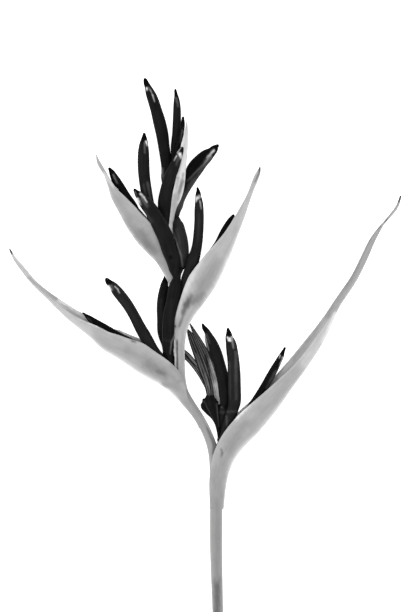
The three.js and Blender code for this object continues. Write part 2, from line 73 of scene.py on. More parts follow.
BRACT_RING_SPACING = 0.8
BRACT_SOFTEN = 2.2
BRACT_HALF_STEPS = 32
FLANK_SPREAD = math.radians(100)
FLAT_TIP_SPREAD = math.radians(50)
DEEP_FLANK_RATIO = 1.3  # height to half width, from which the flanks curl in fully
WALL = 0.75
MARGIN_WALL = 0.35
WALL_TAPER = 1.5
MOST_WALL_SHARE = 0.5  # of the half width
# Painted highlights on the bracts: the outside turns white towards the keel, and the margins are
# paler.
KEEL_HIGHLIGHT_GREY = 255
KEEL_HIGHLIGHT_FADE = 0.5  # on the upper flank, as a share of it
FAR_KEEL_HIGHLIGHT_FADE = 0.12
MARGIN_HIGHLIGHT_START = 0.86
OUTER_MARGIN_HIGHLIGHT = 10
INNER_MARGIN_HIGHLIGHT = 14
BRACT_GRAIN_ROUND = 12
BRACT_GRAIN_INSIDE = 9

FLOWER_RING_SPACING = 0.3
FLOWER_SOFTEN = 0.8
FINE_TIP_RINGS = 48
COARSE_RING_STEP = 3
FLOWER_DEPTH_SHARE = 0.94
LEAST_RADIUS = 0.08
TIP_ROUND = 0.7
TIP_START = 0.02  # where on that rounding the first ring lies, as a share
WAIST_DEPTH = 0.05  # where the tube meets the ovary
WAIST_LENGTH = 0.7
FLOWER_SEAMS = ((0.02, 3, 10),)  # waves, as for the stem
SEAM_START = (2, 8)  # from the tip
SEAM_END = 3  # before the end of the tube
CAP_GREY = 8
CAP_LENGTH = 4.6
CAP_FADE = (-1.2, 0.6)  # from the cap's length

LOBE_RING_SPACING = 0.4
LOBE_SIDES = 16
LOBE_RADIUS = 1.1
LOBE_DEPTH_SHARE = 0.7
LOBE_TIP_SHARE = 0.002
LOBE_GRAIN = 10  # length for the grain

OVARY_RING_SPACING = 0.45
OVARY_SIDES = 56
OVARY_GREY = 22
OVARY_CREASES = ((0.05, 5, 0), (0.03, 11, 1))
CREASE_START = 8  # rings from the base
CREASE_END = 4  # rings from the rim
RIM_SWELL = 0.08
RIM_SWELL_RINGS = 1.2
RIM_WAVES = ((0.15, 2, 1), (0.3, 5, 0), (0.25, 9, 2))
RIM_NOTCH = 1.4
RIM_NOTCH_EDGE = 3
RAGGED_RINGS = 8  # from the rim
HOLLOW_RINGS = ((0.88, 0.1), (0.74, 0.9), (0.45, 1.6), (0.15, 1.8))  # share of the rim, depth
OVARY_GRAIN = (0.6, 2.5)  # from ring to ring, radius

STRIP_RING_SPACING = 0.7
STRIP_STEPS = 41
VEIN_WAVES = 3.5
VEIN_HEIGHT = 0.22
VEIN_EDGE = 0.3  # height of its wave from which a vein is pale
STRIP_FOLD = 0.25
STRIP_THICKNESS = 0.22
FULL_THICKNESS_HALF_WIDTH = 0.8

# noises of the plant's skin: scale, stretch along and round, detail
STREAK_NOISE = (1.0, (0.05, 1.1, 1.1), 3.0)
MOTTLE_NOISE = (0.35, (0.5, 1, 1), 4.0)
FINE_NOISE = (2.6, (0.5, 1, 1), 3.0)
RIB_STRETCH = (0.012, 1, 1)
RIB_DETAIL = 1.0
NOISE_RANGE = (0.3, 0.7)  # where most of a noise's values lie
FINE_SHADE = 0.02
FINE_BUMP = 0.15
BUMP_HEIGHT = 0.3
ROUGHNESS_RANGE = (-0.06, 0.08)
# roughness, specular, streaks, mottling, scale of the ribs, bump
SKINS = {
    "stem_skin": (0.5, 0.35, 0.05, 0.05, 2.2, 0.35),
    "bract_skin": (0.45, 0.3, 0.05, 0.07, 1.6, 0.3),
    "flower_skin": (0.42, 0.02, 0.22, 0.16, 1.8, 0.3),
    "withered_skin": (0.6, 0.03, 0.3, 0.25, 3.0, 0.7),
}

FLOOR_REACH = 6.0
FLOOR_DROP = 0.00005
FLOOR_NOISE_SCALE = 900
FLOOR_SHADES = (0.9, 0.94)
FLOOR_ROUGHNESS = 0.9
FLOOR_SPECULAR = 0.1
FLOOR_GLOW = 0.9

# name, place, size, watts
SOFTBOXES = (
    ("left_softbox", (-1.0, 0.2, 1.15), (0.9, 1.2), 8),
    ("right_softbox", (0.9, -0.3, 1.3), (0.9, 1.2), 5),
    ("top_softbox", (0.1, 1.0, 1.3), (1.2, 0.8), 5),
)
WORLD_LIGHT = 0.75
CAMERA_HEIGHT = 2.4
VIEW_CENTRE = (204, 306)  # pixels
VIEW_HEIGHT = 0.306
SENSOR_WIDTH = 36
CLIP_END = 100

# Marks are soft lines: the pixels of both ends, half the width in pixels, grey.

# fmt: off
# x, y, z, radius
STEM = [
    [7.6, -153.5, 2.5, 2.65], [6.45, -113.5, 3.8, 2.75], [5.6, -82, 4.8, 3.1], [5.6, -60, 5.5, 3.2],
    [5.7, -45, 6.1, 3.3], [5.1, -37, 6.3, 3.1], [3.5, -30.5, 6.3, 2.5], [0.9, -23.5, 6.3, 2.4],
    [-2.2, -17.5, 6.2, 2.4], [-6.5, -10.9, 6.1, 2.4], [-9.9, -5, 6, 2.3], [-12.1, 0.5, 5.9, 2.1],
    [-13.2, 7, 5.8, 1.95], [-13.4, 17.5, 5.6, 1.85], [-13.4, 27.5, 5.4, 1.8],
    [-13.9, 38, 5.3, 1.75], [-14.9, 49, 5.2, 1.7], [-16, 60, 5.2, 1.6], [-16.8, 70, 5.2, 1.5],
    [-17, 78, 5.3, 1.4],
]
STEM_MARKS = [
    # Painted shade: the first two marks darken the middle of the stem towards its cut end.
    [217, 580, 217.5, 700, 3.4, 104], [217, 580, 216.8, 500, 2.8, 143],
    # Painted shade lines in the groove at the sheath's edge and along a ridge of the rachis.
    [213.2, 454, 213.4, 444, 1.3, 105], [213.4, 444, 209.2, 431, 1.1, 130],
    # The grey 200 mark is painted light on the rachis's shaded side; the grey 125 stripe is a
    # painted shade line along the sheath's edge.
    [191.5, 393, 214, 436, 1.6, 200], [207, 428, 213.5, 444, 1.1, 125],
    [219.6, 455.5, 221.8, 452.8, 1.2, 88], [221.8, 452.8, 220.6, 449.4, 1, 100],
]

# 1 opens to the left of its growth and -1 to the right, outer grey, inner grey,
# rows (x, y and z of the keel, flank height, half width, roll in degrees), marks
BRACTS = {
    "bract_1": (1, 176, 192, [
        [9.44, -62.07, 5.3, 6.99, 2.85, 0], [10.17, -54.17, 5.7, 8.15, 3.15, 0],
        [11.22, -47.19, 6, 9.24, 3.55, 0], [13.81, -39.51, 6.2, 10.83, 4, 0],
        [18.21, -32.78, 6.3, 12.8, 4.9, 3], [26.45, -24.39, 6.3, 14.15, 6.1, 4.5],
        [36.94, -11.43, 6.2, 11.75, 6.6, 5], [43.09, -2.28, 6.4, 9.62, 5.9, 10.7],
        [49.59, 7.06, 6.5, 8.21, 4.9, 21.8], [55.46, 15.91, 6.6, 7.36, 4.2, 27],
        [60.5, 24.39, 6.7, 6.25, 3.5, 31], [63.98, 32.38, 6.9, 4.28, 3, 33],
        [66.28, 38.72, 7.1, 2.3, 2.6, 42], [75.07, 52.3, 7.6, 2.6, 1.9, 57],
        [80.6, 63.92, 8, 1.81, 2, 60], [84.15, 71.88, 8.3, 1.76, 1.6, 60],
        [87.5, 77.7, 8.45, 1.2, 1.1, 60], [89.8, 81.3, 8.6, 0.5, 0.55, 60],
        [92.3, 83.85, 8.7, 1, 0.75, 60], [96.7, 89.28, 8.8, 1.2, 0.8, 60],
        [97.9, 94.65, 9, 0.3, 0.5, 60],
    ], [
        [399.8, 196, 398.2, 201, 1.5, 30], [396.5, 207, 392, 213.5, 1, 205],
        [221.5, 455.5, 222.5, 452, 1.2, 88], [222.5, 452, 220.8, 449.2, 1, 100],
        [228, 450, 236, 438, 5, 156], [250, 425, 290, 378, 7, 172], [306, 362, 329, 324, 7, 206],
        [329, 315, 358, 266, 4, 172], [358, 266, 379, 231, 4, 172], [217, 506, 219, 470, 9, 158],
        # The grey 255 mark is painted light on the far flank's inner face, which lies in shade.
        [219, 470, 224, 458, 5, 160], [236, 417, 251, 401, 2.6, 255],
        [360, 256, 374, 231.5, 0.8, 120], [374, 231.5, 381, 225.5, 0.9, 120],
        # The grey 236 mark is a painted highlight where the near flank's edge fades to white.
        [387.5, 219.5, 385, 222, 0.9, 105], [335, 314, 323, 342, 2.4, 236],
        [236, 436, 246, 424, 4, 158], [279, 377, 292, 360, 1.8, 214],
    ]),
    "bract_2": (-1, 174, 225, [
        [-2.93, -21.83, 6.2, 2.6, 1.8, 0], [-4.72, -18.1, 6.15, 2.47, 2.05, 0],
        [-7.87, -13.9, 6.1, 3.24, 2.3, 0], [-11.06, -10.28, 6.1, 3.7, 2.7, 0],
        [-16, -5.15, 6.1, 8.5, 3.8, 0], [-20.62, -1.08, 5.9, 11.86, 5.2, 2],
        [-26.62, 2.05, 5.6, 13.62, 6.1, 3], [-32.82, 5.56, 5.2, 14.16, 6.5, 4],
        [-38.96, 9.8, 4.95, 14.6, 6.55, 6], [-45.09, 14.07, 4.7, 12.38, 6.6, 9.2],
        [-51.79, 17.98, 4.6, 11.46, 6.2, 12.8], [-57.65, 23.95, 4.9, 8.24, 5.5, 11.3],
        [-68.11, 32.78, 5.6, 5.08, 4, 25.9], [-74.23, 38.44, 6.2, 3.99, 3, 28.4],
        [-79.23, 43.53, 6.7, 2.5, 2.4, 28.6], [-86.44, 51.02, 7.1, 1.33, 1.7, 47],
        [-91.91, 57.66, 7.5, 2.1, 1.2, 50], [-96.03, 63.55, 7.9, 1.1, 0.9, 50],
        [-97.9, 68.3, 8.3, 0.3, 0.5, 50],
    ], [
        [148, 364, 166, 375, 5.5, 140], [158, 371, 165, 374, 2, 122], [128, 351, 145, 357, 4, 160],
        [12, 252.6, 10.4, 250.4, 1.3, 30], [178, 382, 181.5, 380, 1, 130],
        [172, 377, 183, 392, 3, 158], [60, 304, 84, 314, 1, 150], [42, 287, 62, 302, 1.1, 205],
        # The grey 250 mark is painted light on the inner face, in the shade of the trough.
        [85, 330, 30, 282, 10, 196], [60, 300, 86, 315, 3.2, 250],
        [61.7, 304.2, 82.5, 317.8, 0.5, 190], [66.5, 309.6, 89.2, 322.3, 0.5, 160],
        [73.3, 306.9, 81.5, 311.3, 0.5, 90], [198, 425, 186, 402, 6, 160],
        [172, 366, 187, 385, 3, 160], [84, 317, 98, 325, 2.2, 240], [164, 384, 178, 388, 3, 160],
        # The grey 235 mark is painted light on the shaded inner side.
        [56, 299, 29, 278, 1.8, 178], [127, 334.5, 137, 338.5, 1.4, 235],
        [131.5, 340.7, 135.5, 341.9, 0.8, 80],
    ]),
    "bract_3": (1, 182, 170, [
        [-8.2, -3.4, 5.9, 2.6, 2, 0], [-9.4, 1.5, 5.8, 3.6, 2.5, 0],
        [-10.01, 9.53, 5.7, 5.2, 2.8, 0], [-10.1, 19.09, 5.6, 4.9, 3.1, 0],
        [-9.25, 26.26, 5.5, 6.5, 3.5, 0], [-7.64, 30.54, 5.6, 8.15, 4, 0],
        [-5.42, 34.2, 5.8, 9.66, 4.6, 0], [-1.37, 39.5, 6, 12.3, 5.6, 0],
        [3.39, 45.81, 6.3, 14.21, 6.4, 0], [7.26, 52.43, 6.3, 13.73, 6.5, 0],
        [11.5, 61.77, 6.3, 11.4, 6, 0], [15.05, 70.41, 6.4, 8.12, 5, 0],
        [17.48, 77.29, 6.5, 5.97, 4, 0], [21.06, 87.15, 6.8, 4.05, 2.6, 0],
        [23.67, 95.16, 7, 2.55, 1.7, 0], [26.94, 102.95, 7.2, 2.98, 1.2, 0],
        [28.24, 106.85, 7.3, 2.42, 0.9, 0], [27.75, 109.5, 7.4, 0.4, 0.5, 0],
    ], [
        [186.4, 305.5, 191.6, 296.8, 3.2, 84], [183.2, 313, 186.6, 305, 2.4, 112],
        [197, 300, 206, 278, 6, 154], [206, 282, 216, 262, 7, 159], [222, 252, 236, 222, 6, 184],
        # The greys 216 and 204 that run along the near margin are a painted highlight.
        [179.3, 326, 183.2, 315.8, 1.5, 122], [182.6, 294, 199, 263, 3.4, 216],
        [176.5, 316, 182.6, 294, 2.4, 204], [175.4, 325.4, 175.4, 327.4, 0.9, 40],
        # The grey 62 line is a painted shadow where the bract's base clasps the rachis.
        [175.5, 341, 175.3, 372, 1.1, 218], [177.1, 341, 177.5, 374, 1, 62],
        [180, 345, 181.5, 380, 2.2, 172], [260.6, 166.5, 259.5, 172, 1.2, 50],
        [259.5, 172, 255, 182, 1, 120], [240, 225, 252, 195, 4, 196],
        [192.5, 302.5, 203, 294, 2.4, 138],
    ]),
    "bract_4": (-1, 172, 165, [
        [-17.2, 46, 5.2, 1.9, 2.4, 0], [-17.87, 50.45, 5.2, 1.93, 2.7, 0],
        [-20.66, 55.04, 5.4, 5.38, 3.6, 0], [-24.29, 61.31, 5.7, 8.1, 4.8, 0],
        [-31.3, 67.93, 6.2, 11.38, 6.3, 0], [-37.69, 76.2, 6.1, 11.39, 6.6, 3],
        [-42.06, 84.18, 6.4, 9.48, 5.7, 5], [-45.03, 89.81, 6.5, 7.34, 4.5, 5],
        [-47.3, 93.88, 6.7, 6.03, 3.2, 5], [-48.91, 100.06, 6.9, 2.81, 2, 0],
        [-50.69, 105.13, 7.1, 1.92, 1.4, 0], [-54.34, 110.62, 7.4, 2.28, 0.9, 0],
        [-54.6, 115.4, 7.6, 0.4, 0.5, 0],
    ], [
        [140, 234, 154, 252, 5.5, 128], [128, 220, 141, 238, 5, 148], [118, 200, 132, 222, 7, 162],
        [157, 259, 163, 270, 3, 165], [104, 174, 113, 186, 2, 214],
        [138.2, 209.6, 144.5, 216.8, 0.6, 90], [142.6, 212.3, 146.2, 216.2, 0.9, 250],
    ]),
    "bract_5": (1, 236, 190, [
        [-15.9, 75.5, 5.6, 2.2, 2.2, 0], [-15.47, 81.99, 6.2, 3.22, 2.4, 0],
        [-14.79, 87.36, 6.5, 2.8, 2.5, 0], [-11.68, 93.6, 6.8, 4.94, 2.6, 0],
        [-9.94, 101.44, 7, 4.87, 2.6, 0], [-9.5, 109.6, 7.2, 4, 2.3, 0],
        [-8.56, 117.44, 7.4, 3.94, 1.9, 0], [-8.26, 124.48, 7.6, 2.49, 1.4, 0],
        [-8.8, 132.2, 7.8, 0.4, 0.5, 0],
    ], [
        [182.4, 181, 177.2, 199, 2, 132], [183.4, 174, 182.2, 181.5, 1.2, 176],
        [178.5, 178, 174.5, 200, 1.6, 190], [176, 196, 171.5, 222, 3, 178],
        [186.8, 121, 184.6, 146, 2.6, 196],
    ]),
}

# tube length, grey, rows from the tip to the base (x, y, rise, radius), marks
# Marks lighter than a flower's grey: the white patches and streaks just below the black cap are
# mostly its own pale tip, some painted highlight; most grey streaks along the dark tube and ovary
# are painted highlights.
FLOWERS = {
    "flower_4_c": (44.5, 30, [
        [-35.41, 98.04, 6.2, 0.6], [-34.85, 97.05, 6.2, 0.8], [-33.9, 95.85, 6.3, 1.55],
        [-32.45, 94.3, 6.3, 2.25], [-30.55, 91.65, 6.4, 2.9], [-28, 88.75, 6.5, 3.45],
        [-25.25, 84.8, 6.5, 3.55], [-22.55, 79.5, 6.4, 3.9], [-19.75, 73.7, 6.2, 3.95],
        [-17.92, 67.53, 5.8, 3.8], [-15.9, 61.9, 5.1, 3.4], [-15.35, 57.7, 4.2, 2.7],
        [-14.5, 53.8, 3.2, 1.3], [-14.25, 50.75, 2, 0.9], [-14.5, 47, 0.8, 0.7],
    ], [
        # The greys 200 and 215 below the cap and the grey 66 streak further down are painted
        # highlights.
        [142.6, 199, 147.5, 206.5, 1.8, 86], [140.7, 194, 143.6, 197.4, 1.3, 200],
        [144, 197.4, 147.2, 202.8, 0.9, 215], [136.8, 199.2, 139.2, 204.4, 2.3, 255],
        [135.4, 191, 138.2, 196.8, 1.5, 6], [171, 257.2, 171, 258.2, 1.5, 6],
        [143.5, 212, 151, 222, 2.2, 66], [135.2, 191.8, 136.8, 195.6, 0.8, 100],
    ]),
    "flower_3_a": (36, 34, [
        [-3.9, 98.92, 2.2, 0.6], [-3.61, 97.98, 2.2, 0.47], [-3.32, 96.53, 2.3, 1.23],
        [-3.4, 94.5, 2.3, 1.5], [-3.04, 91.5, 2.4, 2], [-3.02, 87.5, 2.5, 2.37],
        [-2.99, 82.49, 2.6, 2.42], [-3.27, 76.58, 2.7, 2.49], [-3.95, 70.05, 2.8, 2.55],
        [-4.84, 66, 2.8, 2.75], [-6.25, 61.45, 2.7, 3.3], [-7.85, 57.25, 2.4, 2.6],
        [-9.15, 52.5, 1.8, 2.9], [-10.5, 47.5, 1.2, 2], [-12, 40.5, 0.7, 1.4],
        [-12.4, 30, 0.6, 0.8],
    ], [
        [197, 198.2, 199.2, 196.8, 2, 250], [196.4, 199.5, 196.2, 202, 0.8, 225],
        [200, 201.2, 201.2, 209, 0.9, 165], [199, 215, 198.5, 240, 1.6, 44],
    ]),
    "flower_5_d": (42, 28, [
        [-11.15, 119, 4.6, 0.6], [-11.5, 118.1, 4.6, 1], [-12.05, 116.7, 4.5, 1.4],
        [-12.9, 114.7, 4.3, 1.75], [-14.15, 112, 4.1, 2.3], [-15.6, 108.53, 4, 2.7],
        [-17.57, 104, 3.8, 2.9], [-19.38, 98.24, 3.4, 2.86], [-20.24, 91.81, 2.6, 3.4],
        [-20.26, 85.5, 1.3, 3.1], [-20.2, 82.1, 0.5, 3], [-19.7, 77.7, -0.2, 2.7],
        [-18.8, 73.3, -0.6, 2.3], [-17, 68.5, -0.6, 1],
    ], [
        # The white patch and the pale lines below the cap are partly the flower's pale tip and
        # partly painted highlight.
        [179.6, 154, 181, 157.8, 2, 255], [176.6, 156.2, 174.4, 160.8, 0.8, 200],
        [178, 158.5, 176.8, 165, 1.6, 75], [171, 172, 166, 200, 2.2, 34],
        [177.4, 152.8, 181.2, 147.8, 0.9, 165],
    ]),
    "flower_2_d": (42, 26, [
        [-11, 58.7, 3.2, 0.6], [-11.8, 57.5, 3.2, 0.9], [-13.1, 55.9, 3.2, 1.35],
        [-13.95, 53.5, 3.2, 1.85], [-14.6, 50.75, 3.2, 2.9], [-15.2, 47.5, 3.2, 3.35],
        [-16.55, 41.05, 3.2, 3.1], [-17.95, 35.22, 3.3, 3], [-18.34, 28.74, 3.3, 3.1],
        [-18.4, 22.2, 3.1, 3], [-18.3, 18.7, 2.9, 2.8], [-17.73, 14.25, 2.5, 2.06],
        [-17.1, 9.9, 1.7, 2], [-15.5, 6.3, 1, 1.3], [-14.6, 4.5, 0.6, 0.8],
    ], [
        [175.2, 334, 171.6, 342.5, 0.9, 130], [171.6, 342.5, 170.2, 353.5, 0.8, 105],
        [161.5, 339.5, 170.5, 340.4, 0.8, 50], [173.8, 343, 173.4, 364, 1.3, 5],
        [170, 330, 172, 300, 1.8, 34],
    ]),
    "flower_1_a": (40, 36, [
        [11.45, 28.75, 2, 0.6], [11.46, 27.59, 2, 0.79], [11.94, 26.08, 2.1, 1.44],
        [11.98, 24.02, 2.2, 1.9], [12.87, 21.08, 2.3, 2.64], [13.46, 17.2, 2.5, 2.92],
        [14.13, 12.2, 2.6, 3], [14.5, 6.19, 2.6, 3.2], [14.58, -0.3, 2.6, 3.3],
        [14.81, -6.71, 2.4, 3.2], [14.59, -9.56, 2.3, 3.1], [13.75, -12.69, 2.2, 2.85],
        [12.66, -16.06, 2, 2.7], [11, -19.5, 1.8, 2.2], [9, -24, 1.4, 1.2], [6.8, -28.5, 1, 0.8],
    ], [
        [229.8, 333.4, 229.9, 335.6, 1.2, 8], [227.5, 337.2, 228.4, 340, 1, 252],
        [228.8, 340.4, 231, 340.6, 1.1, 250], [232, 337, 231.6, 340, 1, 252],
        [229.7, 338.4, 230, 340.4, 1.5, 255], [231.7, 337.5, 233.4, 348, 1.1, 140],
        # The greys 74 and 54 down the tube and the grey 74 line on the ovary are painted
        # highlights.
        [235.8, 352, 236.2, 398, 1.7, 74], [229.6, 362, 230, 398, 1.2, 54],
        [220, 411.4, 238, 411.4, 1.2, 70], [226.4, 416, 227, 427, 1.1, 74],
    ]),
    "flower_4_d": (24, 42, [
        [-13.8, 84.2, 0.8, 0.6], [-13.45, 83.21, 0.8, 1.05], [-13.7, 81.65, 0.8, 2.3],
        [-13.3, 79.65, 0.8, 2.85], [-12.85, 76.8, 0.8, 3.15], [-12, 72.8, 0.8, 3.3],
        [-11.3, 67.9, 0.8, 3.2], [-11.1, 63.4, 0.8, 2.9], [-11.9, 59.4, 0.7, 2.2],
        [-13.05, 56.9, 0.6, 1.1], [-13.75, 54.5, 0.5, 0.8], [-14.15, 52, 0.4, 0.7],
    ], [
        # Painted highlight: the lighter left side of the tube and its pale left edge, greys 66,
        # 170, 150 and 100.
        [176.5, 231, 181.5, 256, 2.6, 66], [173.4, 232.5, 177, 243.8, 0.9, 170],
        [177, 243.8, 181, 256, 0.9, 150], [181, 256, 182.8, 267, 1, 100],
    ]),
    "flower_4_b": (46.5, 30, [
        [-30.3, 126.28, 0, 0.6], [-30.41, 125.24, 0, 0.79], [-30.39, 123.66, 0, 1.41],
        [-30.51, 121.63, 0, 2], [-30.73, 118.7, 0, 2.57], [-30.8, 114.7, 0, 2.93],
        [-30.78, 109.7, -0.1, 2.99], [-30.36, 103.7, -0.2, 2.92], [-29.45, 97.32, -0.2, 2.9],
        [-28.36, 90.91, -0.2, 2.9], [-26, 83.27, -0.1, 2.8], [-25.7, 78.7, 0, 2.5],
        [-24.5, 74.4, 0, 2.2], [-23.2, 70.6, 0.1, 1.4], [-15.6, 53, 0.6, 0.8],
    ], [
        [146, 141.5, 147.4, 145.6, 1.1, 240], [144.6, 143, 144.9, 153, 1, 95],
        [147.6, 183, 151, 201, 1.4, 78], [143.5, 185, 147, 201, 1.1, 58],
    ]),
    "flower_2_a": (47, 36, [
        [-49.6, 53.61, 1, 0.6], [-48.96, 52.52, 1, 1.27], [-47.88, 51.05, 1, 1.68],
        [-46.14, 49.71, 0.96, 2.15], [-44.44, 47.46, 0.9, 2.66], [-41.93, 44.36, 0.9, 2.82],
        [-38.93, 40.41, 0.8, 2.74], [-35.84, 35.34, 0.8, 2.67], [-32.87, 29.57, 0.8, 2.82],
        [-29.68, 23.91, 0.8, 3], [-25.46, 16.58, 0.8, 2.8], [-22.27, 13.24, 0.8, 2.6],
        [-19.8, 9.5, 0.9, 2.2], [-17, 6.6, 0.9, 1.4], [-12, 2.5, 0.9, 0.8],
    ], [
        [108.6, 286.4, 111, 290, 1.6, 252], [111.6, 285.8, 113.6, 289.6, 1.2, 90],
        # The greys 190 and 185 right of the white patch are a painted highlight.
        [115, 286.4, 117.6, 289, 0.7, 190], [117.6, 289, 119.6, 293, 0.8, 185],
        [122, 300, 134, 324, 2.4, 42],
    ]),
    "flower_1_b": (43, 28, [
        [-1.26, 30.86, 0.3, 0.6], [-0.98, 29.81, 0.3, 0.68], [-0.31, 28.38, 0.2, 1.34],
        [1.02, 26.8, 0.12, 1.44], [2.03, 23.96, 0, 2.27], [3.9, 20.37, -0.1, 2.6],
        [5.72, 15.77, -0.3, 2.8], [7.3, 9.9, -0.5, 2.9], [8.83, 3.64, -0.6, 3],
        [9.3, -2.9, -0.6, 3], [9.45, -7.4, -0.6, 2.7], [9.1, -10.25, -0.7, 2.7],
        [9, -14.75, -0.8, 2.35], [8.65, -18.5, -0.9, 2], [8, -23, -0.9, 1.2], [6.7, -28, -0.9, 0.8],
    ], [
        # The greys 190 and 130 along the left outline are a painted highlight.
        [204.4, 334.2, 206, 340, 1, 190], [206, 340, 208.8, 350, 0.8, 130],
        [206.8, 334.5, 209.5, 343, 1, 66], [217, 404.5, 225, 407, 1.6, 10],
        [221.3, 406.6, 223, 406.6, 0.8, 120], [219, 412, 227, 412, 1.3, 58],
    ]),
    "flower_2_c": (38.5, 22, [
        [-19.91, 55.38, -1.5, 0.6], [-19.83, 54.29, -1.5, 0.73], [-19.81, 52.67, -1.6, 1.35],
        [-20.2, 50.68, -1.6, 1.9], [-20.56, 47.69, -1.7, 2.4], [-21.04, 43.8, -1.8, 2.8],
        [-21.28, 38.79, -2, 3], [-20.88, 32.79, -2.1, 3.2], [-20.65, 26.21, -2.1, 3.2],
        [-18.55, 19.89, -2.1, 3.1], [-18.3, 15.4, -2, 2.8], [-17.3, 11, -1.8, 2.5],
        [-15.9, 7.3, -1.6, 1.6], [-14.5, 4, -1.3, 0.8],
    ], [
        [161.5, 300, 161.5, 330, 1.8, 32], [162.5, 344, 166, 356, 1.5, 46],
    ]),
    "flower_1_c": (38, 16, [
        [40.1, 19.04, 0, 0.6], [39.81, 18.11, 0, 0.62], [39.03, 16.7, 0, 0.88],
        [38.36, 14.91, 0, 1.36], [36.91, 12.23, -0.09, 1.63], [34.95, 8.6, -0.2, 1.95],
        [32.55, 4.2, -0.3, 2.15], [29.7, -1.1, -0.4, 2.25], [26.45, -6.8, -0.6, 2.5],
        [22.8, -12, -0.8, 2.4], [19.9, -16, -1, 1.8], [17.75, -19.75, -1.2, 1.4],
        [14.5, -23.5, -1.3, 1.2], [10.5, -28, -1.3, 0.9],
    ], [
        # All three marks are a painted highlight down the right side.
        [279.9, 355.4, 279.3, 358, 1, 190], [282.9, 357.5, 278.9, 368.5, 1.2, 175],
        [276.5, 371.5, 267.5, 388, 2.4, 85],
    ]),
    "flower_2_b": (44, 12, [
        [-61.35, 36.35, -0.8, 0.35], [-59.7, 34.95, -0.8, 0.75], [-58.25, 33.75, -0.8, 1.38],
        [-56.25, 32.15, -0.9, 1.7], [-53.75, 30.5, -1, 1.95], [-50.75, 28.7, -1.1, 2.08],
        [-46.9, 26.35, -1.3, 2.15], [-42.75, 23.85, -1.5, 2.25], [-37, 20.7, -1.7, 2.5],
        [-31.9, 16.7, -1.9, 2.5], [-27.7, 13.1, -2, 2.4], [-24.3, 10.2, -2, 2.1],
        [-20.9, 7.3, -1.8, 1.9], [-17.9, 4.6, -1.6, 1.2], [-12.5, -0.5, -1, 0.8],
    ], [
        [87.5, 317.8, 92, 322.5, 1, 60],
    ]),
    "flower_3_b": (40.5, 12, [
        [14.43, 85.41, 0, 0.6], [13.98, 84.21, 0, 1.05], [13, 82.8, 0, 1.41],
        [11.81, 81.21, 0, 1.44], [10.42, 78.5, 0, 1.8], [8.75, 74.81, 0, 2.1],
        [6.71, 70.23, -0.1, 2.3], [3.4, 65.2, -0.2, 2.4], [0.5, 59.5, -0.3, 2.5],
        [-2.4, 53.6, -0.4, 2.4], [-3.3, 51.9, -0.4, 2.4], [-5.4, 47.9, -0.6, 2.1],
        [-7.4, 43.8, -0.7, 1.9], [-9.1, 40.2, -0.8, 1.2], [-12, 33, -0.8, 0.8],
    ], []),
    "flower_4_a": (44, 16, [
        [-48.24, 108.8, -0.6, 0.6], [-47.51, 107.85, -0.6, 0.84], [-46.61, 106.39, -0.7, 1.53],
        [-45.74, 104.61, -0.8, 1.83], [-44.34, 101.89, -1.02, 2.33], [-41.82, 98.87, -1.3, 1.85],
        [-39.51, 94.35, -1.6, 2.2], [-36.11, 89.41, -1.9, 2.3], [-33.62, 83.3, -2.2, 2.4],
        [-30.1, 77.9, -2.2, 2.4], [-27.6, 73, -2.2, 2.3], [-25.6, 69, -2.1, 2],
        [-23.5, 65, -2, 1.8], [-21.2, 61.7, -1.9, 1.1], [-15.2, 51.5, -1.2, 0.8],
    ], [
        [113.4, 175, 117.2, 183, 1.1, 100],
    ]),
    "flower_5_c": (36, 16, [
        [-10.9, 134.28, 1, 0.6], [-11, 133.25, 1, 0.65], [-11.05, 131.6, 1, 1],
        [-11.1, 129.6, 1, 1.1], [-11.6, 126.6, 0.9, 1.15], [-12.53, 122.83, 0.9, 1.7],
        [-13.8, 117.9, 0.9, 1.8], [-13.98, 111.96, 0.7, 1.9], [-15, 105.5, 0.4, 1.9],
        [-15.2, 101.5, 0.2, 1.9], [-15.3, 97, 0, 1.7], [-15.5, 92.6, -0.1, 1.5],
        [-15.8, 88.6, -0.2, 1], [-16.1, 77.5, -0.2, 0.8],
    ], [
        [182.5, 130, 180.5, 142, 1, 62],
    ]),
    "flower_5_b": (44, 26, [
        [-14.81, 148.25, -2.3, 0.6], [-14.83, 147.13, -2.3, 0.71], [-14.52, 145.52, -2.3, 0.87],
        [-14.25, 143.53, -2.3, 1.33], [-14.09, 140.51, -2.4, 1.79], [-14.03, 136.5, -2.4, 2.01],
        [-14.14, 131.5, -2.4, 2.1], [-14.35, 125.55, -2.4, 2.2], [-14.98, 119.03, -2.3, 2.25],
        [-14.77, 112.49, -2.2, 2.3], [-15.19, 107.12, -2, 2.2], [-15.4, 102.6, -1.8, 2],
        [-15.8, 98.1, -1.6, 1.7], [-16.1, 94.1, -1.3, 1.1], [-16.8, 77, -0.9, 0.8],
    ], [
        [176, 98, 178.2, 106, 1.4, 88],
    ]),
    "flower_5_a": (49.5, 24, [
        [-30.25, 153.65, -1.5, 0.6], [-29.89, 152.69, -1.5, 1.01], [-29.47, 151.08, -1.5, 1.39],
        [-28.61, 149.24, -1.5, 1.65], [-27.58, 146.47, -1.6, 2.37], [-26.09, 142.73, -1.6, 2.77],
        [-24.58, 137.93, -1.6, 2.86], [-23.02, 132.17, -1.7, 3.18], [-21.55, 125.77, -1.9, 3.17],
        [-20.61, 119.32, -2, 2.9], [-19.13, 108.42, -2.2, 2.8], [-19.56, 103.87, -2.3, 2.5],
        [-18.9, 99.4, -2.3, 2.2], [-18.6, 95.4, -2.3, 1.4], [-17.2, 77, -1.2, 0.8],
    ], [
        [146.8, 88.2, 146.9, 89.8, 1.3, 250], [148.8, 87.5, 150.6, 90.6, 0.9, 95],
        [150.2, 89.6, 152.6, 94.8, 0.7, 150], [152.6, 94.8, 154.6, 101.6, 0.8, 185],
        # The grey 100 mark at the base's left edge is a painted highlight.
        [162.4, 169, 162.6, 178, 1.4, 100], [157, 112, 163, 150, 2.4, 28],
    ]),
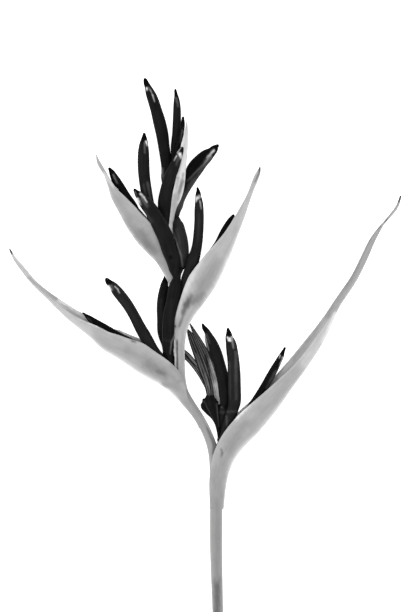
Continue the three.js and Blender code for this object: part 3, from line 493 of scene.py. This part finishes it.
    "flower_5_e": (40, 10, [
        [6.88, 120.37, -2.4, 0.6], [6.03, 119.55, -2.4, 0.93], [4.91, 118.44, -2.4, 2.02],
        [3.59, 116.88, -2.5, 2.24], [1.24, 115.06, -2.5, 3.25], [-1.67, 112.38, -2.5, 3.69],
        [-4.91, 108.5, -2.6, 4.06], [-7.83, 103.31, -2.6, 3.5], [-11.31, 97.8, -2.5, 3.5],
        [-13.5, 91.7, -2.3, 2.91], [-13.89, 90.3, -2.2, 3.1], [-15.1, 85.9, -2, 2.5],
        [-15.9, 81.5, -1.8, 2.2], [-16.4, 77, -1.6, 1.2],
    ], [
        # The greys 95, 64 and 70 down the tube are painted highlights.
        [210.5, 157, 203, 167, 2.2, 95], [208, 160, 194, 180, 3, 64], [194, 180, 183, 200, 3.2, 70],
        [184, 196, 176, 214, 3.4, 70], [213.6, 150.5, 207.5, 157.5, 1.6, 205],
        [208.5, 158, 203, 165, 0.9, 130], [203, 165, 187, 181, 0.8, 88],
        [189, 192, 181, 208, 0.8, 96],
    ]),
}
CAP_LENGTHS = {
    "flower_2_d": 0.4,
    "flower_4_d": 0.8,
    "flower_4_c": 5.2,
    "flower_4_b": 5.6,
    "flower_3_a": 4.1,
}
# free tips of split sepals: x, y, rise
LOBES = {
    "flower_4_c": [[-28, 87.5, 6.8], [-31.4, 91, 7.2], [-33.7, 92.9, 7.4]],
    "flower_1_b": [[4.6, 12, 0.6], [1.5, 19, 1.2], [-0.2, 24.6, 1.4]],
}

# x, y, rise, radius
WITHERED_OVARY = [
    [7, -27, 1.2, 0.6], [6.5, -22.5, 1, 0.8], [5.8, -18.5, 0.6, 1.35], [4.8, -15.5, 0.3, 2.2],
    [3.6, -12.5, -0.1, 3.65], [2.7, -9.8, -0.4, 4.7], [2.4, -8.2, -0.7, 4.2], [2.1, -7, -0.9, 3.5],
    [1.9, -5.5, -1.1, 2.8],
]
OVARY_MARKS = [
    [204, 401, 213.5, 420, 0.6, 62], [216.6, 404, 218.8, 426, 0.7, 84],
]
# rows (x, y, rise, half width), grey, grey of its veins, marks
WITHERED_STRIPS = [
    ([
        [6.3, -9.7, 1.6, 1.2], [5.2, 0, -0.2, 1.9], [3.2, 7.5, -2.1, 2], [0.5, 15, -2.4, 2],
        [-2.8, 21.5, -2.6, 1.6], [-5.9, 27.5, -2.8, 0.9], [-7.7, 31, -3, 0.3],
    ], 52, 120, [
        [206.5, 347, 211.5, 362, 2.6, 104], [211.5, 362, 216, 384, 3.2, 152],
        [216, 384, 218.4, 405, 3, 162], [205.4, 356, 209, 372, 1.1, 30],
        [209, 372, 212.4, 398, 1.1, 24],
    ]),
    ([
        [3, -9, -0.8, 1.4], [1.9, 0, -2, 2.3], [-0.6, 7.5, -2.6, 2.5], [-3.1, 14.5, -3, 2.4],
        [-5.3, 20, -3.2, 2.1], [-7.3, 25, -3.4, 1.5], [-8.9, 27.9, -3.5, 0.4],
    ], 38, 110, [
        [196, 354, 205, 374, 1.1, 90], [205, 374, 210.6, 394, 1.3, 108],
    ]),
    ([
        [2.4, -9, -0.8, 1.2], [1.7, -2.5, -2, 1.3], [-0.2, 1.7, -2.8, 1.4], [-3.2, 7, -3.8, 1.6],
        [-6.4, 11.5, -4.4, 1.8], [-10.2, 15.5, -4.8, 1.8], [-14, 19, -5, 0.8],
    ], 66, 130, [
        [184, 352, 199, 368, 0.8, 150], [199, 368, 207.4, 390, 1.1, 120],
        [184.5, 353.4, 196, 366.5, 0.7, 16], [184.5, 349, 194, 358, 0.5, 25],
    ]),
]
# fmt: on


# Curves


def smooth_rows(rows, spacing, soften=0.0):
    """Rows of x, y, z and other numbers, filled in along a smooth curve at an even spacing."""
    rows = np.array(rows, float)
    rows = np.vstack([2 * rows[0] - rows[1], rows, 2 * rows[-1] - rows[-2]])
    gaps = np.sqrt(np.linalg.norm(np.diff(rows[:, :3], axis=0), axis=1))
    dense = []
    t = np.linspace(0, 1, CURVE_STEPS, endpoint=False)[:, None]
    for i in range(len(rows) - 3):
        a, b, c, d = rows[i : i + 4]
        g, h, k = gaps[i : i + 3]
        start = ((b - a) / g - (c - a) / (g + h) + (c - b) / h) * h
        end = ((c - b) / h - (d - b) / (h + k) + (d - c) / k) * h
        bend = 2 * b - 2 * c + start + end
        lean = -3 * b + 3 * c - 2 * start - end
        dense.append(((bend * t + lean) * t + start) * t + b)
    dense.append(rows[-2:-1])
    dense = np.vstack(dense)
    steps = np.linalg.norm(np.diff(dense[:, :3], axis=0), axis=1)
    length = np.concatenate([[0], np.cumsum(steps)])
    count = max(3, round(length[-1] / spacing) + 1)
    even = np.linspace(0, length[-1], count)
    out = np.column_stack([np.interp(even, length, column) for column in dense.T])
    return softened(out, soften / (even[1] - even[0])) if soften else out


def softened(rows, width):
    """Rows smoothed along their order, with both end rows kept."""
    reach = min(int(SOFTEN_REACH * width) + 1, len(rows) - 1)
    before = 2 * rows[0] - rows[reach:0:-1]
    after = 2 * rows[-1] - rows[-2 : -reach - 2 : -1]
    long = np.vstack([before, rows, after])
    weights = np.exp(-0.5 * (np.arange(-reach, reach + 1) / width) ** 2)
    weights /= weights.sum()
    return np.column_stack([np.convolve(column, weights, "valid") for column in long.T])


def lifted_rows(rows, spacing, soften=0.0):
    """Smooth rows, with the rise of each turned into its height."""
    rows = smooth_rows(rows, spacing, soften)
    rows[:, 2] += AXIS_HEIGHT
    return rows


def unit(vectors):
    return vectors / np.maximum(np.linalg.norm(vectors, axis=-1, keepdims=True), TINY)


def directions(places):
    """The direction of growth at each place of a curve."""
    return unit(np.gradient(places, axis=0))


def left_of(tangents):
    """Square to the growth direction, to its left in the viewing plane."""
    return unit(np.column_stack([-tangents[:, 1], tangents[:, 0], np.zeros(len(tangents))]))


def ramp(value, low, high):
    """0 below low, 1 above high and a soft step between."""
    t = np.clip((value - low) / (high - low), 0, 1)
    return t * t * (3 - 2 * t)


def bell(value):
    return np.exp(-(value**2))


def round_angles(sides):
    return 2 * np.pi * np.arange(sides) / sides


def waves(angle, table):
    """The sum of a table's waves round a rod."""
    return sum(depth * np.cos(count * angle + phase) for depth, count, phase in table)


# Greys


def albedo(grey):
    """The reflectance that shows as this sRGB grey of the photograph in this scene's light."""
    value = np.clip(np.asarray(grey, float) / 255, 0, 1)
    linear = np.where(value <= 0.04045, value / 12.92, ((value + 0.055) / 1.055) ** 2.4)
    return linear / LIGHT


def waver(x, y, table):
    return MARK_WAVER * sum(np.sin(across * x + down * y) for across, down in table)


def marked(places, greys, marks):
    """Greys with soft marks laid over them, each a thick line in the photograph's plane."""
    x, y = places[:, 0] / PIXEL, -places[:, 1] / PIXEL
    waver_x, waver_y = waver(x, y, WAVER_X), waver(x, y, WAVER_Y)
    for x0, y0, x1, y1, width, grey in marks:
        wavering = min(1, width / FULL_WAVER_WIDTH)
        px = PHOTO_ORIGIN[0] + x + waver_x * wavering
        py = PHOTO_ORIGIN[1] + y + waver_y * wavering
        dx, dy = x1 - x0, y1 - y0
        t = np.clip(((px - x0) * dx + (py - y0) * dy) / (dx * dx + dy * dy), 0, 1)
        away = np.hypot(px - x0 - t * dx, py - y0 - t * dy)
        amount = np.exp(-((away / width) ** MARK_EDGE)) * (1 - MARK_FADE * t * t)
        greys = greys + (grey - greys) * amount
    return greys


# Meshes


def piece(points, faces, tone, grain, material, node, slot):
    """A closed mesh that stands for one CAD node, with its tone and grain as attributes."""
    name = node + "_skin"
    mesh = bpy.data.meshes.new(name)
    points = np.array(points, float)
    points[:, 2] = np.maximum(points[:, 2], 0)
    mesh.from_pydata((points * MM).tolist(), [], faces)
    mesh.polygons.foreach_set("use_smooth", np.ones(len(mesh.polygons), bool))
    tones = mesh.attributes.new("tone", "FLOAT", "POINT")
    tones.data.foreach_set("value", albedo(tone).astype(np.float32))
    grains = mesh.attributes.new("grain", "FLOAT_VECTOR", "POINT")
    grains.data.foreach_set("vector", np.asarray(grain, np.float32).ravel())
    mesh.materials.append(material)
    mesh.validate()
    thing = bpy.data.objects.new(name, mesh)
    bpy.context.scene.collection.objects.link(thing)
    face_outward(mesh)
    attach(thing, "root")
    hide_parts(node)


def face_outward(mesh):
    """Turns the faces outward, by the sign of the enclosed volume."""
    mesh.calc_loop_triangles()
    corners = np.zeros(len(mesh.loop_triangles) * 3, int)
    mesh.loop_triangles.foreach_get("vertices", corners)
    places = np.zeros(len(mesh.vertices) * 3)
    mesh.vertices.foreach_get("co", places)
    a, b, c = places.reshape(-1, 3)[corners].reshape(-1, 3, 3).transpose(1, 0, 2)
    if np.einsum("ij,ij->i", a, np.cross(b, c)).sum() < 0:
        mesh.flip_normals()


def tube_faces(rings, size):
    """Faces between closed rings of points that follow one another."""
    faces = []
    for first in range(0, (rings - 1) * size, size):
        for i in range(size):
            a, b = first + i, first + (i + 1) % size
            faces.append((a, b, b + size, a + size))
    return faces


def fan(centre, ring, backwards):
    """Faces from one point to a ring."""
    pairs = list(zip(ring, ring[1:] + ring[:1]))
    return [(centre, b, a) if backwards else (centre, a, b) for a, b in pairs]


def rod(rings):
    """Points and faces of a rod through rings of points (rings, sides, 3), closed at both ends."""
    count, sides, _ = rings.shape
    points = np.vstack([rings.reshape(-1, 3), rings[0].mean(0), rings[-1].mean(0)])
    faces = tube_faces(count, sides)
    faces += fan(count * sides, list(range(sides)), True)
    faces += fan(count * sides + 1, list(range((count - 1) * sides, count * sides)), False)
    return points, faces


def rings_round(places, tangents, radius, depth):
    """Ellipses round a curve. radius and depth hold a number for each ring and side."""
    across = left_of(tangents)
    up = unit(np.cross(tangents, across))
    angle = round_angles(radius.shape[1])
    return sections(places, across, radius * np.cos(angle), up, depth * np.sin(angle))


def sections(places, side_axis, side, up_axis, up):
    """Rings of points at each place, from their distances along two axes."""
    rings = places[:, None, :] + side_axis[:, None, :] * side[:, :, None]
    return rings + up_axis[:, None, :] * up[:, :, None]


def with_ends(values):
    """Numbers for a rod's rings (rings, sides), with those of its two end points."""
    return np.concatenate([values.ravel(), [values[0].mean(), values[-1].mean()]])


def ring_greys(greys, sides):
    """The greys of a rod's points, from one for each ring."""
    return with_ends(np.tile(greys[:, None], (1, sides)))


def rod_grain(along, sides, radius):
    """Along and round, in millimetres, for a rod's points. The way round closes on itself."""
    angle = round_angles(sides)
    first = np.repeat(along, sides)
    second = np.outer(radius, np.cos(angle)).ravel()
    third = np.outer(radius, np.sin(angle)).ravel()
    grain = np.column_stack([first, second, third])
    ends = np.array([[along[0], 0, 0], [along[-1], 0, 0]])
    return np.vstack([grain, ends])


def joined(parts):
    """Several meshes as one, each given as its points, faces, tone and grain."""
    faces = []
    start = 0
    for points, part_faces, _, _ in parts:
        faces += [tuple(start + i for i in face) for face in part_faces]
        start += len(points)
    points, _, tone, grain = zip(*parts)
    return np.vstack(points), faces, np.concatenate(tone), np.vstack(grain)


# Materials


def grey_surface(name):
    """A material with a shader, and a colour node that turns a value into the shader's grey."""
    material = bpy.data.materials.new(name)
    material.use_nodes = True
    nodes, links = material.node_tree.nodes, material.node_tree.links
    nodes.clear()
    output = nodes.new("ShaderNodeOutputMaterial")
    shader = nodes.new("ShaderNodeBsdfPrincipled")
    colour = nodes.new("ShaderNodeCombineColor")
    links.new(colour.outputs[0], shader.inputs["Base Color"])
    links.new(shader.outputs[0], output.inputs["Surface"])
    return material, shader, colour


def set_grey(links, value, colour):
    for channel in ("Red", "Green", "Blue"):
        links.new(value, colour.inputs[channel])


def plant_material(name, roughness, specular, streaks, mottling, ribs, bump):
    """Plant skin: its tone from the mesh, with streaks along the growth, mottling and fine ribs."""
    material, shader, colour = grey_surface(name)
    nodes, links = material.node_tree.nodes, material.node_tree.links
    shader.inputs["Specular IOR Level"].default_value = specular

    def attribute(key):
        node = nodes.new("ShaderNodeAttribute")
        node.attribute_name = key
        return node

    tone = attribute("tone").outputs["Fac"]
    grain = attribute("grain").outputs["Vector"]

    def noise(scale, stretch, detail):
        mapping = nodes.new("ShaderNodeMapping")
        mapping.inputs["Scale"].default_value = stretch
        links.new(grain, mapping.inputs["Vector"])
        texture = nodes.new("ShaderNodeTexNoise")
        texture.inputs["Scale"].default_value = scale
        texture.inputs["Detail"].default_value = detail
        links.new(mapping.outputs[0], texture.inputs["Vector"])
        return texture.outputs["Fac"]

    def math_node(operation, first, second):
        node = nodes.new("ShaderNodeMath")
        node.operation = operation
        for socket, value in zip(node.inputs, (first, second)):
            if isinstance(value, (int, float)):
                socket.default_value = value
            else:
                links.new(value, socket)
        return node.outputs[0]

    def spread(value, middle, below, above):
        node = nodes.new("ShaderNodeMapRange")
        node.inputs["From Min"].default_value = NOISE_RANGE[0]
        node.inputs["From Max"].default_value = NOISE_RANGE[1]
        node.inputs["To Min"].default_value = middle + below
        node.inputs["To Max"].default_value = middle + above
        links.new(value, node.inputs["Value"])
        return node.outputs[0]

    streak, mottle, fine = noise(*STREAK_NOISE), noise(*MOTTLE_NOISE), noise(*FINE_NOISE)
    value = tone
    for pattern, amount in ((streak, streaks), (mottle, mottling), (fine, FINE_SHADE)):
        value = math_node("MULTIPLY", value, spread(pattern, 1, -amount, amount))
    set_grey(links, value, colour)
    links.new(spread(mottle, roughness, *ROUGHNESS_RANGE), shader.inputs["Roughness"])

    rib = noise(ribs, RIB_STRETCH, RIB_DETAIL)
    bumps = nodes.new("ShaderNodeBump")
    bumps.inputs["Strength"].default_value = bump
    bumps.inputs["Distance"].default_value = BUMP_HEIGHT * MM
    height = math_node("ADD", rib, math_node("MULTIPLY", fine, FINE_BUMP))
    links.new(height, bumps.inputs["Height"])
    links.new(bumps.outputs[0], shader.inputs["Normal"])
    return material


def floor_material():
    """A pale surface that glows faintly, so that it stays white round the plant."""
    material, shader, colour = grey_surface("pale_surface")
    nodes, links = material.node_tree.nodes, material.node_tree.links
    coordinates = nodes.new("ShaderNodeTexCoord")
    texture = nodes.new("ShaderNodeTexNoise")
    texture.inputs["Scale"].default_value = FLOOR_NOISE_SCALE
    shade = nodes.new("ShaderNodeMapRange")
    shade.inputs["To Min"].default_value, shade.inputs["To Max"].default_value = FLOOR_SHADES
    links.new(coordinates.outputs["Object"], texture.inputs["Vector"])
    links.new(texture.outputs["Fac"], shade.inputs["Value"])
    set_grey(links, shade.outputs[0], colour)
    shader.inputs["Roughness"].default_value = FLOOR_ROUGHNESS
    shader.inputs["Specular IOR Level"].default_value = FLOOR_SPECULAR
    shader.inputs["Emission Color"].default_value = (1, 1, 1, 1)
    shader.inputs["Emission Strength"].default_value = FLOOR_GLOW
    return material


# Pieces


def make_stem(material):
    rows = smooth_rows(STEM, STEM_RING_SPACING, STEM_SOFTEN)
    places, radius = rows[:, :3], rows[:, 3]
    tangents = directions(places)
    size = radius[:, None] * (1 + waves(round_angles(ROD_SIDES), STEM_RIDGES))
    rings = rings_round(places, tangents, size, size)
    cut = rings[0].mean(0)
    face = np.array([cut + (rings[0] - cut) * share for share in CUT_RINGS])
    edge = rings[:1] + tangents[0] * CUT_BEVEL
    rings = np.concatenate([face, edge, rings[1:]])
    points, faces = rod(rings)
    greys = np.full(len(rings), float(STEM_GREY))
    greys[: len(CUT_RINGS)] = CUT_GREYS
    tone = marked(points, ring_greys(greys, ROD_SIDES), STEM_MARKS)
    along = np.arange(len(rings)) * STEM_RING_SPACING
    radius = np.concatenate([radius[0] * np.array(CUT_RINGS), radius])
    grain = rod_grain(along, ROD_SIDES, radius)
    piece(points, faces, tone, grain, material, "stem", "stem")


def bract_section(height, half_width, across):
    """Outer and inner points of a bract's folded sections: to the side and up, for each ring."""
    depth = np.minimum(1, height / (DEEP_FLANK_RATIO * half_width))
    spread = FLAT_TIP_SPREAD + (FLANK_SPREAD - FLAT_TIP_SPREAD) * depth
    angle = spread[:, None] * across
    rise = (height / (1 - np.cos(spread)))[:, None]
    width = half_width[:, None]
    side = width * np.sin(angle)
    up = rise * (1 - np.cos(angle))
    inward = unit(np.stack([-rise * np.sin(angle), width * np.cos(angle)], -1))
    wall = WALL + (MARGIN_WALL - WALL) * np.abs(across) ** WALL_TAPER
    wall = np.minimum(wall, MOST_WALL_SHARE * width)
    return side, up, side + wall * inward[..., 0], up + wall * inward[..., 1]


def bract_greys(outer_grey, inner_grey, across, inside):
    """Greys round a bract's section: outside, a painted highlight fading to white at the keel, and
    painted highlights along both margins.
    """
    flank = np.abs(across)
    margin = ramp(flank, MARGIN_HIGHLIGHT_START, 1.0)
    keel = 1 - ramp(flank / np.where(across < 0, FAR_KEEL_HIGHLIGHT_FADE, KEEL_HIGHLIGHT_FADE), 0.0, 1.0)
    outside = outer_grey + OUTER_MARGIN_HIGHLIGHT * margin + (KEEL_HIGHLIGHT_GREY - outer_grey) * keel
    return np.where(inside, inner_grey + INNER_MARGIN_HIGHLIGHT * margin, outside)


def make_bract(name, material):
    turn, outer_grey, inner_grey, stations, marks = BRACTS[name]
    rows = smooth_rows(stations, BRACT_RING_SPACING, BRACT_SOFTEN)
    places, height, half_width = rows[:, :3], rows[:, 3], rows[:, 4]
    opening = left_of(directions(places)) * turn
    roll = np.radians(rows[:, 5:])
    near = np.array([[0, 0, 1.0]])
    up_axis = opening * np.cos(roll) + near * np.sin(roll)
    side_axis = near * np.cos(roll) - opening * np.sin(roll)
    across = np.linspace(-1, 1, 2 * BRACT_HALF_STEPS + 1)
    side, up, inner_side, inner_up = bract_section(height, half_width, across)
    side = np.hstack([side, inner_side[:, ::-1]])
    up = np.hstack([up, inner_up[:, ::-1]])
    rings = sections(places, side_axis, side, up_axis, up)
    count, size, _ = rings.shape
    faces = tube_faces(count, size)
    last = (count - 1) * size
    for i in range(size // 2 - 1):
        a, b, c, d = i, i + 1, size - 2 - i, size - 1 - i
        faces.append((a, d, c, b))
        faces.append((last + a, last + b, last + c, last + d))
    points = rings.reshape(-1, 3)

    across = np.concatenate([across, across[::-1]])
    inside = np.arange(size) >= size // 2
    greys = bract_greys(outer_grey, inner_grey, across, inside)
    tone = marked(points, np.tile(greys, count), marks)
    along = np.repeat(np.arange(count) * BRACT_RING_SPACING, size)
    round_and_inside = np.column_stack([across * BRACT_GRAIN_ROUND, inside * BRACT_GRAIN_INSIDE])
    grain = np.column_stack([along, np.tile(round_and_inside, (count, 1))])
    piece(points, faces, tone, grain, material, name, "bract")


def make_flower(name, material):
    tube, grey, stations, marks = FLOWERS[name]
    rows = lifted_rows(stations, FLOWER_RING_SPACING, FLOWER_SOFTEN)
    tangents = -directions(rows[:, :3])
    spacing = np.linalg.norm(np.diff(rows[:, :3], axis=0), axis=1).mean()
    from_tip = np.arange(len(rows)) * spacing
    kept = list(range(FINE_TIP_RINGS)) + list(range(FINE_TIP_RINGS, len(rows), COARSE_RING_STEP))
    places, size = rows[kept, :3], rows[kept, 3]
    tangents, from_tip = tangents[kept], from_tip[kept]
    rounding = 1 - np.clip(from_tip / TIP_ROUND, TIP_START, 1)
    size = np.maximum(LEAST_RADIUS, size) * np.sqrt(1 - rounding * rounding)
    size *= 1 - WAIST_DEPTH * bell((from_tip - tube) / WAIST_LENGTH)
    seams = waves(round_angles(ROD_SIDES), FLOWER_SEAMS)
    body = ramp(from_tip, *SEAM_START) * (1 - ramp(from_tip, tube - SEAM_END, tube))
    wide = size[:, None] * (1 + seams * body[:, None])
    rings = rings_round(places, tangents, wide, wide * FLOWER_DEPTH_SHARE)
    points, faces = rod(rings)
    cap_length = CAP_LENGTHS.get(name, CAP_LENGTH)
    cap = 1 - ramp(from_tip, cap_length + CAP_FADE[0], cap_length + CAP_FADE[1])
    greys = grey + (min(CAP_GREY, grey) - grey) * cap
    tone = marked(points, ring_greys(greys, ROD_SIDES), marks)
    flower = points, faces, tone, rod_grain(from_tip, ROD_SIDES, size)
    if name in LOBES:
        flower = joined([flower, lobe(LOBES[name], grey, marks)])
    piece(*flower, material, name, "flower")


def lobe(rows, grey, marks):
    """The free tip of a flower's split sepal."""
    rows = lifted_rows(rows, LOBE_RING_SPACING)
    share = np.linspace(0, 1, len(rows))
    size = LOBE_RADIUS * np.sqrt(np.maximum(1 - share, LOBE_TIP_SHARE))
    wide = np.tile(size[:, None], (1, LOBE_SIDES))
    rings = rings_round(rows, directions(rows), wide, wide * LOBE_DEPTH_SHARE)
    points, faces = rod(rings)
    tone = marked(points, np.full(len(points), float(grey)), marks)
    return points, faces, tone, rod_grain(share * LOBE_GRAIN, LOBE_SIDES, size)


def withered_ovary():
    """The swollen ovary, open at its ragged rim with a hollow inside it."""
    rows = lifted_rows(WITHERED_OVARY, OVARY_RING_SPACING)
    places, radius = rows[:, :3], rows[:, 3]
    tangents = directions(places)
    angle = round_angles(OVARY_SIDES)
    last = len(rows) - 1
    step = np.arange(len(rows))
    swell = 1 + RIM_SWELL * bell((step - last + 1) / RIM_SWELL_RINGS)
    creased = ramp(step, CREASE_START, len(rows) - CREASE_END)
    wide = (radius * swell)[:, None] * (1 + waves(angle, OVARY_CREASES) * creased[:, None])
    rings = rings_round(places, tangents, wide, wide * FLOWER_DEPTH_SHARE)
    notch = RIM_NOTCH * np.maximum(0, np.cos(angle)) ** RIM_NOTCH_EDGE
    ragged = waves(angle, RIM_WAVES) - notch
    reach = ramp(step, len(rows) - RAGGED_RINGS, last)
    rings = rings + tangents[:, None, :] * (reach[:, None] * ragged)[:, :, None]
    rim = rings[-1]
    centre = rim.mean(0)
    hollow = [
        centre + (rim - centre) * share - tangents[-1] * depth for share, depth in HOLLOW_RINGS
    ]
    rings = np.concatenate([rings, np.array(hollow)])
    points, faces = rod(rings)
    tone = marked(points, np.full(len(points), float(OVARY_GREY)), OVARY_MARKS)
    along, around = OVARY_GRAIN
    radius = np.full(len(rings), around)
    return points, faces, tone, rod_grain(np.arange(len(rings)) * along, OVARY_SIDES, radius)


def withered_strip(rows, grey, vein_grey, marks):
    """A shrivelled strip: a thin folded ribbon with veins standing out along it."""
    rows = lifted_rows(rows, STRIP_RING_SPACING)
    places, half = rows[:, :3], rows[:, 3:]
    tangents = directions(places)
    across_axis = left_of(tangents)
    up_axis = unit(np.cross(tangents, across_axis))
    across = np.linspace(-1, 1, STRIP_STEPS)
    veins = np.cos(across * np.pi * VEIN_WAVES)
    fold = STRIP_FOLD * np.cos(across * np.pi * 0.5)
    height = VEIN_HEIGHT * veins * np.minimum(1, half) + fold * half
    thick = STRIP_THICKNESS * np.minimum(1, half / FULL_THICKNESS_HALF_WIDTH)
    side = half * across
    side = np.hstack([side, side[:, ::-1]])
    up = np.hstack([height + thick, (height - thick)[:, ::-1]])
    points, faces = rod(sections(places, across_axis, side, up_axis, up))
    shade = grey + (vein_grey - grey) * ramp(veins, VEIN_EDGE, 1.0)
    tone = with_ends(np.tile(np.concatenate([shade, shade[::-1]]), (len(rows), 1)))
    tone = marked(points, tone, marks)
    along = np.repeat(np.arange(len(rows)) * STRIP_RING_SPACING, side.shape[1])
    grain = np.column_stack([along, side.ravel(), up.ravel()])
    return points, faces, tone, np.vstack([grain, grain[:1], grain[-1:]])


def make_withered(material):
    parts = [withered_ovary()] + [withered_strip(*strip) for strip in WITHERED_STRIPS]
    piece(*joined(parts), material, "flower_1_withered", "withered_flower")


# Stage


def make_floor():
    reach = FLOOR_REACH
    corners = [(-reach, -reach, 0), (reach, -reach, 0), (reach, reach, 0), (-reach, reach, 0)]
    mesh = bpy.data.meshes.new("surface")
    mesh.from_pydata(corners, [], [(0, 1, 2, 3)])
    mesh.materials.append(floor_material())
    floor = bpy.data.objects.new("surface", mesh)
    floor.location.z = -FLOOR_DROP
    bpy.context.scene.collection.objects.link(floor)


def make_softbox(name, place, size, watts):
    """A rectangular light at this place, turned to the origin."""
    data = bpy.data.lights.new(name, "AREA")
    data.shape = "RECTANGLE"
    data.size, data.size_y = size
    data.energy = watts
    light = bpy.data.objects.new(name, data)
    light.location = place
    light.rotation_euler = (-light.location).to_track_quat("-Z", "Y").to_euler()
    light.visible_camera = False
    bpy.context.scene.collection.objects.link(light)


def make_world():
    world = bpy.data.worlds.new("studio")
    world.use_nodes = True
    background = world.node_tree.nodes["Background"]
    background.inputs["Color"].default_value = (1, 1, 1, 1)
    background.inputs["Strength"].default_value = WORLD_LIGHT
    bpy.context.scene.world = world


def make_camera():
    """Straight above, with a long lens: the photograph's height fills the frame."""
    data = bpy.data.cameras.new("camera")
    data.sensor_width = SENSOR_WIDTH
    data.lens = SENSOR_WIDTH * (CAMERA_HEIGHT - AXIS_HEIGHT * MM) / VIEW_HEIGHT
    data.clip_end = CLIP_END
    camera = bpy.data.objects.new("camera", data)
    x = (VIEW_CENTRE[0] - PHOTO_ORIGIN[0]) * PIXEL * MM
    y = (PHOTO_ORIGIN[1] - VIEW_CENTRE[1]) * PIXEL * MM
    camera.location = (x, y, CAMERA_HEIGHT)
    bpy.context.scene.collection.objects.link(camera)
    bpy.context.scene.camera = camera


skins = {name: plant_material(name, *look) for name, look in SKINS.items()}
make_stem(skins["stem_skin"])
for bract in BRACTS:
    make_bract(bract, skins["bract_skin"])
for flower in FLOWERS:
    make_flower(flower, skins["flower_skin"])
make_withered(skins["withered_skin"])
make_floor()
for softbox in SOFTBOXES:
    make_softbox(*softbox)
make_world()
make_camera()
bpy.context.scene.view_settings.view_transform = "Standard"
